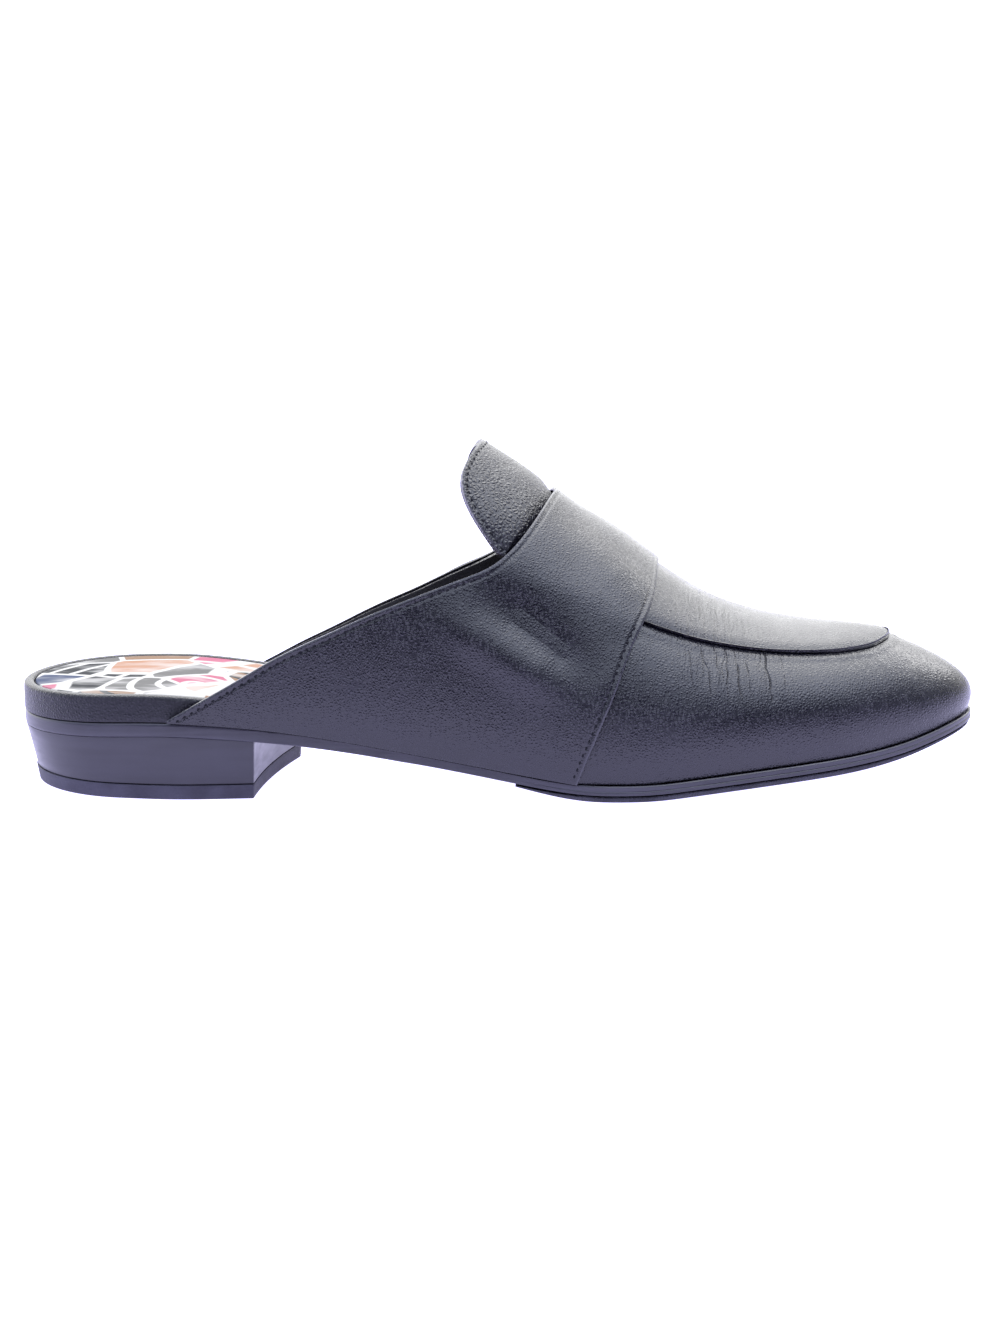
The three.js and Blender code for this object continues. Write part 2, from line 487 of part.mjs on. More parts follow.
// Closed body through a row of rings with equal numbers of points. A row that doesn't close on
// itself is capped by joining each ring's first half to its second.
function loft(rings, closed) {
  const faces = new Faces();
  const count = rings[0].length;
  const pairs = closed ? rings.length : rings.length - 1;
  for (let i = 0; i < pairs; i++) {
    const a = rings[i];
    const b = rings[(i + 1) % rings.length];
    for (let j = 0; j < count; j++) {
      const k = (j + 1) % count;
      faces.quad(a[j], a[k], b[k], b[j]);
    }
  }
  if (!closed) {
    const start = rings[0];
    const end = rings[rings.length - 1];
    for (let j = 0; j < count / 2 - 1; j++) {
      faces.quad(start[count - 1 - j], start[count - 2 - j], start[j + 1], start[j]);
      faces.quad(end[j], end[j + 1], end[count - 2 - j], end[count - 1 - j]);
    }
  }
  return faces.geometry();
}

const steps = (count) => Array.from({ length: count + 1 }, (unused, i) => i / count);

// A point on the topline or another edge table, as station and girth.
function edgePoint(edge, way, side) {
  const at = side < 0 ? edge.outerAt(way) : edge.innerAt(way);
  const girth = side < 0 ? edge.outerGirth(way) : edge.innerGirth(way);
  return [stationAt(at * LENGTH, side), girth];
}

// Moves a place on the last by millimetres towards the heel and up the girth.
function shift([station, girth], back, up) {
  const side = station < 0 ? -1 : 1;
  const walked = distance(last(station + STATION_STEP, girth), last(station - STATION_STEP, girth));
  const inside = Math.min(1 - 2 * SHIFT_STEP, Math.max(2 * SHIFT_STEP, girth));
  const climbed = distance(last(station, inside + SHIFT_STEP), last(station, inside - SHIFT_STEP));
  const along = (side * back * 2 * STATION_STEP) / walked;
  return [station + along, Math.min(1, girth + (up * 2 * SHIFT_STEP) / climbed)];
}

// How far the strap covers the throat's edge.
const throatCover = (way) => THROAT_COVER * Math.max(0, (way - COVER_START) / (1 - COVER_START)) ** 2;

// The upper's free edge: just under the topline, and under the strap towards the ridge.
function throat(way, side) {
  const place = edgePoint(topline, way, side);
  return shift(place, -throatCover(way), -LINING_DROP * (1 - ramp(way, DROP_END)));
}

// Stations from the throat's ridge point round the toe's half, throat and tip included.
function foreStations(side, from) {
  const start = Math.abs(stationAt(from * LENGTH, side));
  const sides = steps(SIDE_STEPS).map((t) => side * (start + (TOE_WALK - start) * t));
  const toe = steps(TOE_STEPS).map((t) => side * TOE_WALK * (1 - t));
  return [...sides.slice(0, -1), ...toe];
}

// Thickness of the upper: lining alone under the saddle, leather and lining ahead of it.
function upperWall(station) {
  return LINING_WALL + (VAMP_WALL - LINING_WALL) * ramp(walk(station).x / LENGTH, WALL_CHANGE);
}

// Ring of a sheet through places on the last: out over its outer face, back over its inner face.
function sheetRing(places) {
  const over = places.map(({ station, girth, high }) => skin(station, girth, high));
  const under = places.map(({ station, girth, low }) => skin(station, girth, low));
  return [...over, ...under.reverse()];
}

// Ring of a sheet at one station, from one girth to another.
function crossRing(station, from, to, rows, high, low) {
  return sheetRing(steps(rows).map((t) => ({ station, girth: from + (to - from) * t, high, low })));
}

// Body through a half's rings from the outer side (-1) to its end, and back on the inner side (1).
const bothHalves = (half) => loft([...half(-1), ...half(1).reverse().slice(1)], false);

// The hollow upper: vamp and quarter linings in one wall, open at the back, throat and underneath.
function upperGeometry() {
  const ring = ([station, top]) => crossRing(station, 0, top, GIRTH_STEPS, 0, -upperWall(station));
  return bothHalves((side) => {
    const free = steps(THROAT_STEPS).map((t) => throat(1 - (1 - t) ** RIDGE_CROWDING, side));
    const [crest] = free[THROAT_STEPS];
    const fore = foreStations(side, walk(crest).x / LENGTH).slice(1);
    return [...free, ...fore.map((station) => [station, 1])].map(ring);
  });
}

// The apron: a sheet over the vamp from its seam to the ridge, round at the front.
function apronGeometry() {
  return bothHalves((side) =>
    foreStations(side, APRON_START).map((station) => {
      const at = walk(station).x / LENGTH;
      const seam = side < 0 ? apronSeam.outer(at) : apronSeam.inner(at);
      return crossRing(station, seam, 1, APRON_ROWS, GAP + APRON_WALL, GAP);
    }),
  );
}

// The saddle: both quarters and the strap, lying on the lining and over the apron.
function saddleGeometry() {
  const place = ([station, girth]) => {
    const low = GAP + (APRON_WALL + GAP) * ramp(girth, SADDLE_RAMP);
    return { station, girth, high: low + SADDLE_WALL, low };
  };
  const ways = steps(BAND_COLUMNS).map((t) => t + (ramp(t, [0, 1]) - t) * END_CROWDING);
  return bothHalves((side) =>
    ways.map((way) => {
      const [rear, front] = [topline, saddleFront].map((edge) => edgePoint(edge, way, side));
      return sheetRing(steps(BAND_ROWS).map((t) => place(mix(rear, front, t))));
    }),
  );
}

// The tongue fills the throat and rises behind the strap to its free edge.
function tongueGeometry() {
  const ring = (way, side) => {
    const along = JUNCTION + (1 - JUNCTION) * way;
    const foot = shift(throat(along, side), TONGUE_GAP, TONGUE_STEP * (1 - way));
    const free = edgePoint(tongueEdge, way, side);
    const length = distance(last(...foot), last(...free));
    const mouth = Math.max(MOUTH_LEAST, (throatCover(along) - TONGUE_GAP + MOUTH_MARGIN) / length);
    const places = TONGUE_ROWS.map((row) => {
      const [station, girth] = mix(foot, free, mouth * row.under + (1 - mouth) * row.free);
      const high = TONGUE_RISE * row.lift * ramp(way, LIFT_START);
      return { station, girth, high, low: high - TONGUE_WALL };
    });
    return sheetRing(places);
  };
  return bothHalves((side) => steps(TONGUE_COLUMNS).map((way) => ring(way, side)));
}

// The feather edge, in plan.
function feather(station) {
  const wrapped = Math.abs(station) > HALF_WALK ? station - Math.sign(station) * 2 * HALF_WALK : station;
  const { spine, widest, tuck, reach } = sectionAt(wrapped);
  return mix(spine, widest, 1 - tuck / reach);
}

// The feather edge moved inwards by an inset, in plan.
function inset(station, depth) {
  const [x, y] = feather(station);
  const [along, across] = unit(minus(feather(station + STATION_STEP), feather(station - STATION_STEP)));
  const { spine } = sectionAt(station);
  const inwards = along * (spine[1] - y) - across * (spine[0] - x) < 0 ? -depth : depth;
  return [x - across * inwards, y + along * inwards];
}

// Height of the outsole's top under a plan point of a section.
function soleTop(station, [x, y]) {
  const { spine } = sectionAt(station);
  const share = distance([x, y], spine) / distance(feather(station), spine);
  const rise = Math.min(1, Math.max(0, (share - FLAT_SHARE) / (1 - FLAT_SHARE)));
  return soleMiddle(x) + edgeLift(x) * rise;
}

// Stations of the forepart's plates from the tread's start to the toe's tip.
function bedStations(side) {
  const start = Math.abs(stationAt(TREAD_START * LENGTH, side));
  const sides = steps(BALL_STEPS).map((t) => side * (start + (TOE_WALK - start) * t));
  return [...sides.slice(0, -1), ...steps(ROUND_STEPS).map((t) => side * TOE_WALK * (1 - t))];
}

// Stations all the way round, tip and heel's back once each.
function loopStations() {
  const fore = bedStations(1).reverse();
  const tread = fore[fore.length - 1];
  const waist = steps(WAIST_STEPS).map((t) => tread + (TOE_WALK + SIDE_WALK - tread) * t);
  const heel = steps(ROUND_STEPS).map((t) => TOE_WALK + SIDE_WALK + HEEL_WALK * t);
  const half = [...fore, ...waist.slice(1), ...heel.slice(1)];
  return [...half, ...half.slice(1, -1).reverse().map((station) => -station)];
}

// One profile of a plate: points given by inset from the feather edge, or by share from the middle
// line to a given inset, each with a height over the outsole's top.
function plateRing(station, profile) {
  const { spine } = sectionAt(station);
  return profile.map(({ at, share = 1, height }) => {
    const point = mix(spine, inset(station, at), share);
    return [point[0], point[1], soleTop(station, point) + height(point[0])];
  });
}

// Rows of a plate from the middle line outwards, at the same places for every plate.
const middleRows = (height) => MIDDLE_SHARES.map((share) => ({ at: 0, share, height }));

// Edge of the outsole: flush with the rand at the heel, beyond the feather edge at the forepart.
function soleInset(x) {
  const at = x / LENGTH;
  return (LINING_WALL + GAP) * sole.under(at) - SOLE_LEDGE * sole.ledge(at);
}
const soleWall = (x) => SOLE_WALL + (SOLE_SEAT_WALL - SOLE_WALL) * sole.thick(x / LENGTH);

// The outsole, with a shallow groove along the forepart's edge.
function outsoleGeometry() {
  const rings = loopStations().map((station) => {
    const edge = soleInset(walk(station).x);
    const groove = SOLE_GROOVE * sole.ledge(walk(station).x / LENGTH);
    const deep = (share) => (x) => -share * soleWall(x);
    return plateRing(station, [
      ...middleRows(deep(1)),
      { at: edge + EDGE_ROUND, height: deep(1) },
      { at: edge, height: deep(1 - CORNER_SHARE) },
      { at: edge, height: deep(GROOVE_PLACE + GROOVE_HALF) },
      { at: edge + groove, height: deep(GROOVE_PLACE) },
      { at: edge, height: deep(GROOVE_PLACE - GROOVE_HALF) },
      { at: edge, height: deep(CORNER_SHARE) },
      { at: edge + EDGE_ROUND, height: deep(0) },
      ...middleRows(deep(0)).reverse(),
    ]);
  });
  return loft(rings, true);
}

// Rubber under the forepart, flat in the middle of the ball, thinned out towards the waist.
function treadGeometry() {
  const ring = (station) => {
    const edge = soleInset(walk(station).x) + TREAD_INSET;
    const top = (x) => -soleWall(x) - GAP;
    const thick = (x) => TREAD_WALL * sole.tread(x / LENGTH);
    const deep = (share) => (x) => top(x) - share * thick(x);
    return plateRing(station, [
      ...middleRows(deep(1)),
      { at: edge + EDGE_ROUND, height: deep(1) },
      { at: edge, height: deep(1 - TREAD_CORNER) },
      { at: edge, height: deep(TREAD_CORNER) },
      { at: edge + EDGE_ROUND, height: deep(0) },
      ...middleRows(deep(0)).reverse(),
    ]);
  };
  return bothHalves((side) => bedStations(side).map(ring));
}

// Footbed inside the upper, its rand in sight at the heel, its top sunk inside the rim.
const bedInset = (station) => upperWall(station) + GAP;
const bedTop = (x) => GAP + BED_WALL * sole.bed(x / LENGTH);
const sockFoot = (x) => bedTop(x) - SOCK_SINK - SOCK_WALL;

function footbedGeometry() {
  const rings = loopStations().map((station) => {
    const edge = bedInset(station);
    const floor = (x) => sockFoot(x) - GAP;
    return plateRing(station, [
      ...middleRows(() => GAP),
      { at: edge + RIM_WIDTH, height: () => GAP },
      { at: edge, height: () => GAP },
      { at: edge, height: (x) => bedTop(x) - BED_ROUND },
      { at: edge + BED_ROUND * ROUND_MIDDLE, height: (x) => bedTop(x) - BED_ROUND * ROUND_MIDDLE },
      { at: edge + BED_ROUND, height: bedTop },
      { at: edge + RIM_WIDTH - RIM_ROUND, height: bedTop },
      { at: edge + RIM_WIDTH, height: (x) => bedTop(x) - RIM_ROUND },
      { at: edge + RIM_WIDTH, height: floor },
      ...middleRows(floor).reverse(),
    ]);
  });
  return loft(rings, true);
}

// Sock lining in the footbed's recess.
function sockGeometry() {
  const rings = loopStations().map((station) => {
    const edge = bedInset(station) + RIM_WIDTH + GAP;
    const top = (x) => sockFoot(x) + SOCK_WALL;
    return plateRing(station, [
      ...middleRows(sockFoot),
      { at: edge, height: sockFoot },
      { at: edge, height: (x) => top(x) - SOCK_ROUND },
      { at: edge + SOCK_ROUND, height: top },
      ...middleRows(top).reverse(),
    ]);
  });
  return loft(rings, true);
}

// The heel's outline in plan: the sole's edge at the back, closed by the hollow breast.
function heelLoop(extra) {
  const front = HEEL_FRONT * LENGTH;
  const edges = { outer: stationAt(front, -1), inner: stationAt(front + BREAST_SKEW, 1) };
  const round = 2 * HALF_WALK + edges.outer - edges.inner;
  const count = 2 * HEEL_STEPS;
  const back = steps(count).map((t) => {
    const walked = edges.inner + round * t;
    const station = walked > HALF_WALK ? walked - 2 * HALF_WALK : walked;
    return inset(station, soleInset(walk(station).x) + extra);
  });
  const [from, to] = [back[count], back[0]];
  const breast = steps(BREAST_STEPS).slice(1, -1).map((t) => {
    const [x, y] = mix(from, to, t);
    return [x - BREAST_HOLLOW * 4 * t * (1 - t), y];
  });
  return [...back, ...breast];
}

// Body between two heel outlines, with heights for its foot and top.
function heelBody(footLoop, topLoop, foot, top) {
  const hub = [HEEL_HUB * LENGTH, topLoop.reduce((sum, [, y]) => sum + y / topLoop.length, 0)];
  const place = (share, edge, height) => {
    const [x, y] = mix(hub, edge, share);
    return [x, y, height(x)];
  };
  const rings = topLoop.map((edge, i) => [
    ...HEEL_FOOT_ROWS.map((share) => place(share, footLoop[i], foot)),
    ...HEEL_TOP_ROWS.map((share) => place(share, edge, top)),
  ]);
  return loft(rings, true);
}

// The loop moved in at the foot: by the taper at the back, by less at the breast.
function taperedLoop(extra, taper) {
  const loop = heelLoop(extra + taper);
  const backCount = loop.length - (BREAST_STEPS - 1);
  const slide = (BREAST_TAPER * taper) / HEEL_TAPER;
  return loop.map(([x, y], i) => (i === 0 || i >= backCount - 1 ? [x - slide, y] : [x, y]));
}

// The top lift's foot is flat towards the breast and springs up to the back.
const heelRise = (x) => HEEL_SPRING * Math.max(0, 1 - x / (HEEL_FLAT * LENGTH)) ** SPRING_POWER;

// The heel's taper at the joint of block and top lift.
const JOINT_TAPER = HEEL_TAPER * (1 - LIFT_WALL / (SEAT_HEIGHT - SOLE_SEAT_WALL));

function heelGeometry() {
  const foot = (x) => LIFT_WALL + GAP + heelRise(x);
  const top = (x) => soleMiddle(x) - soleWall(x) - GAP;
  return heelBody(taperedLoop(HEEL_STEP + LIFT_STEP, JOINT_TAPER), taperedLoop(HEEL_STEP, 0), foot, top);
}

function liftGeometry() {
  const top = (x) => LIFT_WALL + heelRise(x);
  return heelBody(taperedLoop(HEEL_STEP, HEEL_TAPER), taperedLoop(HEEL_STEP, JOINT_TAPER), heelRise, top);
}

// One named mesh with its own plain finish.
function piece(name, geometry, color, roughness) {
  const mesh = new THREE.Mesh(geometry, new THREE.MeshStandardMaterial({ color, roughness, metalness: 0 }));
  mesh.name = name;
  return mesh;
}

const shoe = new THREE.Group();
shoe.name = "mule_loafer";
shoe.add(
  piece("upper", upperGeometry(), 0x1b1a20, 0.38),
  piece("saddle", saddleGeometry(), 0x1a191f, 0.4),
  piece("apron", apronGeometry(), 0x1c1b21, 0.34),
  piece("tongue", tongueGeometry(), 0x19181d, 0.45),
  piece("footbed", footbedGeometry(), 0x1b1a1e, 0.4),
  piece("sock_lining", sockGeometry(), 0xc9b3a4, 0.7),
  piece("outsole", outsoleGeometry(), 0x222125, 0.55),
  piece("forepart_tread", treadGeometry(), 0x1c1b1c, 0.8),
  piece("heel_block", heelGeometry(), 0x242327, 0.5),
  piece("top_lift", liftGeometry(), 0x19191a, 0.75),
);

// The row's origin is the middle of the shoe's box, on the floor.
const box = new THREE.Box3().setFromObject(shoe);
for (const mesh of shoe.children) {
  mesh.geometry.translate(-(box.min.x + box.max.x) / 2, -(box.min.y + box.max.y) / 2, -box.min.z);
}
export default shoe;
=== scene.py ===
import math

import bpy
import bmesh
import numpy as np
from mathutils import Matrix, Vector
from mathutils.bvhtree import BVHTree


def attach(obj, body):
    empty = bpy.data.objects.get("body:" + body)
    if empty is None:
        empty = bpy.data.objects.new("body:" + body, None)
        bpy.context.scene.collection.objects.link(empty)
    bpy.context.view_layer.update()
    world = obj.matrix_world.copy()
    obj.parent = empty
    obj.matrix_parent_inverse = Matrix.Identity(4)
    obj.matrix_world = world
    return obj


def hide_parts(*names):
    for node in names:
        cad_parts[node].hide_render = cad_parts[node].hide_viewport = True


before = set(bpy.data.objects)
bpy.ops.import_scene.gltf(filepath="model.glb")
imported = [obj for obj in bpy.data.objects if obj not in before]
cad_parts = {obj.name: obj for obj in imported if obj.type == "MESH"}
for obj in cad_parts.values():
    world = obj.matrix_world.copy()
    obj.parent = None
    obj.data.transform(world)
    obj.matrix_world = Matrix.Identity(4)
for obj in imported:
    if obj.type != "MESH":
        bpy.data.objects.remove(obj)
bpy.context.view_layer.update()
MM = 0.001

# Camera, in the row frame, in metres
AIM = Vector((0.0010, 0.00045, 0.0305))
AZIMUTH, ELEVATION, ROLL = (math.radians(angle) for angle in (2.5, 12.0, 1.0))
DISTANCE = 0.650
NEAREST, FURTHEST = 0.05, 20
FOCAL_PIXELS, PHOTO_WIDTH, PHOTO_HEIGHT = 2346.0, 1000, 1333
SENSOR = 36.0

BACK = Vector((math.sin(AZIMUTH) * math.cos(ELEVATION),
               -math.cos(AZIMUTH) * math.cos(ELEVATION),
               math.sin(ELEVATION)))
LEVEL_RIGHT = (-BACK).cross(Vector((0, 0, 1))).normalized()
LEVEL_UP = LEVEL_RIGHT.cross(-BACK)
RIGHT = LEVEL_RIGHT * math.cos(ROLL) - LEVEL_UP * math.sin(ROLL)
UP = LEVEL_UP * math.cos(ROLL) + LEVEL_RIGHT * math.sin(ROLL)
EYE = AIM + BACK * DISTANCE


def aim_camera():
    bpy.ops.object.select_all(action="DESELECT")
    bpy.ops.object.camera_add(location=EYE)
    camera = bpy.context.active_object
    camera.name = "photo_camera"
    turn = camera.matrix_world.to_3x3()
    turn.col[0], turn.col[1], turn.col[2] = RIGHT, UP, BACK
    camera.rotation_euler = turn.to_euler()
    camera.data.sensor_fit = "AUTO"
    camera.data.sensor_width = SENSOR
    camera.data.lens = FOCAL_PIXELS * SENSOR / PHOTO_HEIGHT
    camera.data.clip_start = NEAREST
    camera.data.clip_end = FURTHEST
    camera.data.dof.use_dof = False
    bpy.context.scene.camera = camera


def sight(across, down):
    """Direction from the eye through a point of the photograph."""
    return (-BACK + RIGHT * (across - PHOTO_WIDTH / 2) / FOCAL_PIXELS
            - UP * (down - PHOTO_HEIGHT / 2) / FOCAL_PIXELS).normalized()


aim_camera()


# Shaping. Points of a CAD mesh closer than TOUCHING, in metres, are one. SHARP is in degrees.
TOUCHING = 1e-5
SHARP = 40
FLAT_QUAD, EVEN_QUAD = 30, 60  # how far a quad may be bent, and how far its corners may be off square


def only(piece):
    bpy.ops.object.select_all(action="DESELECT")
    piece.select_set(True)
    bpy.context.view_layer.objects.active = piece


def finish_with(piece, kind, **settings):
    """Adds a modifier and applies it."""
    only(piece)
    modifier = piece.modifiers.new(kind.title(), kind)
    for name, value in settings.items():
        setattr(modifier, name, value)
    bpy.ops.object.modifier_apply(modifier=modifier.name)


def smooth(piece):
    only(piece)
    bpy.ops.object.shade_smooth_by_angle(angle=math.radians(SHARP))


def take(node, name, sharp=SHARP, levels=2, round_mm=0.25):
    """A copy of a CAD node as an even skin of quads, smooth between its sharp edges, which are rounded."""
    piece = bpy.data.objects.new(name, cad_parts[node].data.copy())
    bpy.context.scene.collection.objects.link(piece)
    only(piece)
    bpy.ops.object.mode_set(mode="EDIT")
    bpy.ops.mesh.select_all(action="SELECT")
    bpy.ops.mesh.customdata_custom_splitnormals_clear()
    bpy.ops.mesh.remove_doubles(threshold=TOUCHING)
    bpy.ops.mesh.tris_convert_to_quads(face_threshold=math.radians(FLAT_QUAD),
                                       shape_threshold=math.radians(EVEN_QUAD))
    bpy.ops.mesh.select_all(action="DESELECT")
    bpy.ops.mesh.select_mode(type="EDGE")
    bpy.ops.mesh.edges_select_sharp(sharpness=math.radians(sharp))
    bpy.ops.transform.edge_crease(value=1)
    bpy.ops.object.mode_set(mode="OBJECT")
    finish_with(piece, "SUBSURF", levels=levels, render_levels=levels)
    finish_with(piece, "BEVEL", width=round_mm * MM, segments=2, limit_method="ANGLE",
                angle_limit=math.radians(sharp), use_clamp_overlap=True)
    return piece


def skin_of(piece):
    return BVHTree.FromObject(piece, bpy.context.evaluated_depsgraph_get())


def rims(node):
    """Runs of a CAD node's sharp edges between its corners, longest first, each a list of points."""
    mesh = bmesh.new()
    mesh.from_mesh(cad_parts[node].data)
    bmesh.ops.remove_doubles(mesh, verts=mesh.verts, dist=TOUCHING)
    hard = {e for e in mesh.edges if len(e.link_faces) == 2 and e.calc_face_angle() > math.radians(SHARP)}
    ends = {v for e in hard for v in e.verts if sum(f in hard for f in v.link_edges) != 2}
    runs = []
    for start in sorted(ends, key=lambda v: v.index):
        for edge in [e for e in start.link_edges if e in hard]:
            if edge not in hard:
                continue
            run, here = [start.co.copy()], start
            while edge:
                hard.discard(edge)
                here = edge.other_vert(here)
                run.append(here.co.copy())
                edge = None if here in ends else next((e for e in here.link_edges if e in hard), None)
            runs.append(run)
    mesh.free()
    return sorted(runs, key=length_of, reverse=True)


def length_of(run):
    return sum((b - a).length for a, b in zip(run, run[1:]))


def evenly(run, pitch, margin):
    """Points every pitch along a run, with the run's direction there, a margin away from its two ends."""
    found, walked, goal = [], 0.0, margin
    total = length_of(run) - margin
    for a, b in zip(run, run[1:]):
        step = (b - a).length
        while goal <= min(walked + step, total):
            found.append((a.lerp(b, (goal - walked) / step), (b - a).normalized()))
            goal += pitch
        walked += step
    return found


def softly(run, rounds=2):
    """The run with each corner cut a quarter of the way along its sides, its ends kept."""
    for _ in range(rounds):
        cut = [run[0]]
        for a, b in zip(run, run[1:]):
            cut += [a.lerp(b, 0.25), a.lerp(b, 0.75)]
        run = cut + [run[-1]]
    return run


def inside(run, skin, towards, distance):
    """A run moved over a skin, away from its rim: points with the skin's way out and the run's way along."""
    moved = []
    for point, along in run:
        _, out, _, _ = skin.find_nearest(point + towards * distance)
        across = out.cross(along).normalized()
        if across.dot(towards) < 0:
            across = -across
        spot, out, _, _ = skin.find_nearest(point + across * distance)
        moved.append((spot, out, along))
    return moved


# Finishes: shader maths on sockets
class Wire:
    """One output of a graph's node, with Python's arithmetic for numbers."""

    def __init__(self, graph, socket):
        self.graph = graph
        self.socket = socket

    def _sum(self, operation, *values):
        return self.graph.node("ShaderNodeMath", {"operation": operation}, values)

    def __add__(self, other):
        return self._sum("ADD", self, other)

    def __radd__(self, other):
        return self._sum("ADD", other, self)

    def __sub__(self, other):
        return self._sum("SUBTRACT", self, other)

    def __rsub__(self, other):
        return self._sum("SUBTRACT", other, self)

    def __mul__(self, other):
        return self._sum("MULTIPLY", self, other)

    def __rmul__(self, other):
        return self._sum("MULTIPLY", other, self)

    def __gt__(self, other):
        return self._sum("GREATER_THAN", self, other)

    def ramp(self, low, high):
        """0 below low, 1 above high, smooth between."""
        return self.graph.node("ShaderNodeMapRange", {"interpolation_type": "SMOOTHSTEP"},
                               (self, low, high, 0.0, 1.0))

    def near(self, middle, reach):
        """1 at the middle, 0 further off than the reach, smooth between."""
        return 1 - self._sum("ABSOLUTE", self - middle).ramp(0.0, reach)


# Sockets of a Mix node in its colour mode
SHARE, FIRST, SECOND, MIXED = 0, 6, 7, 2


class Graph:
    """A node tree whose nodes are made one call at a time."""

    def __init__(self, tree):
        self.tree = tree

    def node(self, kind, settings, inputs=(), out=0):
        """A new node with its settings and the values or links of its sockets; gives one output or a list."""
        node = self.tree.nodes.new(kind)
        for name, value in settings.items():
            if name == "stops":
                self._stops(node.color_ramp, value)
            else:
                setattr(node, name, value)
        for key, value in inputs.items() if isinstance(inputs, dict) else enumerate(inputs):
            self.feed(node.inputs[key], value)
        if isinstance(out, tuple):
            return [Wire(self, node.outputs[each]) for each in out]
        return Wire(self, node.outputs[out])

    def _stops(self, ramp, stops):
        ramp.interpolation = "CONSTANT"
        while len(ramp.elements) < len(stops):
            ramp.elements.new(1.0)
        for element, (at, color) in zip(ramp.elements, stops):
            element.position = at
            element.color = (*color, 1)

    def feed(self, socket, value):
        if isinstance(value, Wire):
            self.tree.links.new(value.socket, socket)
        elif socket.type == "RGBA":
            socket.default_value = (*value, 1)
        else:
            socket.default_value = value

    def split(self, where):
        return self.node("ShaderNodeSeparateXYZ", {}, [where], out=(0, 1, 2))

    def blend(self, share, first, second):
        return self.node("ShaderNodeMix", {"data_type": "RGBA"},
                         {SHARE: share, FIRST: first, SECOND: second}, out=MIXED)


class Finish(Graph):
    """A material, placed by the object's own coordinates."""

    def __init__(self, name, **fixed):
        self.material = bpy.data.materials.new(name)
        self.material.use_nodes = True
        super().__init__(self.material.node_tree)
        self.shader = self.tree.nodes["Principled BSDF"]
        for socket, value in fixed.items():
            self.feed(self.shader.inputs[socket.replace("_", " ")], value)
        self.place = self.node("ShaderNodeTexCoord", {}, out="Object")

    def mark(self, name):
        """A number kept on the piece's points."""
        return self.node("ShaderNodeAttribute", {"attribute_name": name}, out="Fac")

    def stretched(self, x=1.0, y=1.0, z=1.0, where=None, shift=(0, 0, 0), turn=(0, 0, 0)):
        """The place, scaled, moved and turned: a small scale draws a pattern out along that axis."""
        return self.node("ShaderNodeMapping", {}, (where or self.place, shift, turn, (x, y, z)))

    def noise(self, size_mm, detail=2.0, where=None, out=0):
        inputs = {"Vector": where or self.place, "Scale": 1 / MM / size_mm, "Detail": detail}
        return self.node("ShaderNodeTexNoise", {}, inputs, out=out)

    def cells(self, size_mm, where=None, feature="DISTANCE_TO_EDGE", out="Distance", uneven=1.0):
        inputs = {"Vector": where or self.place, "Scale": 1 / MM / size_mm, "Randomness": uneven}
        return self.node("ShaderNodeTexVoronoi", {"feature": feature}, inputs, out=out)

    def nudged(self, size_mm, by_mm, where=None):
        """The place, pushed about by a noise."""
        push = self.noise(size_mm, 1.0, where, out="Color")
        moved = self.node("ShaderNodeVectorMath", {"operation": "SUBTRACT"}, (push, (0.5, 0.5, 0.5)))
        scaled = self.node("ShaderNodeVectorMath", {"operation": "MULTIPLY"}, (moved, (by_mm * MM * 2,) * 3))
        return self.node("ShaderNodeVectorMath", {"operation": "ADD"}, (where or self.place, scaled))

    def close(self, color, rough=None, relief_mm=None):
        """Joins colour, roughness and a relief in millimetres to the shader."""
        self.feed(self.shader.inputs["Base Color"], color)
        if rough is not None:
            self.feed(self.shader.inputs["Roughness"], rough)
        if relief_mm is not None:
            bump = self.node("ShaderNodeBump", {}, {"Strength": 1.0, "Distance": MM, "Height": relief_mm})
            self.feed(self.shader.inputs["Normal"], bump)
        return self.material


# Colours, linear
INK = (0.0030, 0.0027, 0.0060)
INK_LIGHT = (0.0062, 0.0057, 0.0110)
# A painted highlight along the folded, sewn edges of the leather
EDGE_HIGHLIGHT = (0.045, 0.044, 0.056)
LINING_DARK, LINING_LIGHT = (0.010, 0.0098, 0.014), (0.02, 0.0195, 0.026)
SOLE_DARK, SOLE_LIGHT = (0.012, 0.0112, 0.018), (0.028, 0.0265, 0.038)
TREAD_DARK, TREAD_LIGHT = (0.018, 0.017, 0.026), (0.036, 0.034, 0.048)
STACK_DARK, STACK_LIGHT = (0.009, 0.0085, 0.013), (0.018, 0.017, 0.025)
LIFT_DARK, LIFT_LIGHT = (0.020, 0.0185, 0.031), (0.036, 0.034, 0.052)
THREAD_DARK, THREAD_LIGHT = (0.0015, 0.0015, 0.003), (0.006, 0.0058, 0.010)
CREAM, PINK, TAN = (0.33, 0.32, 0.30), (0.26, 0.075, 0.11), (0.15, 0.093, 0.058)
PEACH, GREY, SLATE = (0.24, 0.128, 0.08), (0.088, 0.085, 0.08), (0.018, 0.019, 0.021)
BLUE_GREY = (0.034, 0.043, 0.075)

# Leather's colour: sizes in mm of its cloud and mottle, the cloud's part of the tone, the tone's ramp
CLOUD_MM, MOTTLE_MM, CLOUD_PART, TONE = 34, 5, 0.6, (0.3, 0.7)
# Leather's grain, in pebbles: size and reach of its bends, width of the valleys, size of the fine grain
BEND_SIZE, BEND_REACH, VALLEY, FINE_SIZE = 2.2, 0.4, (0.0, 0.4), 0.45
# Depth of the fine grain as a part of the grain's, and of the mottle in mm
FINE_DEPTH, MOTTLE_DEPTH = 0.35, 0.045
# How much painted shade a valley gets, and to what part of the dark colour
VALLEY_PART, VALLEY_SHADE = 0.3, 0.35
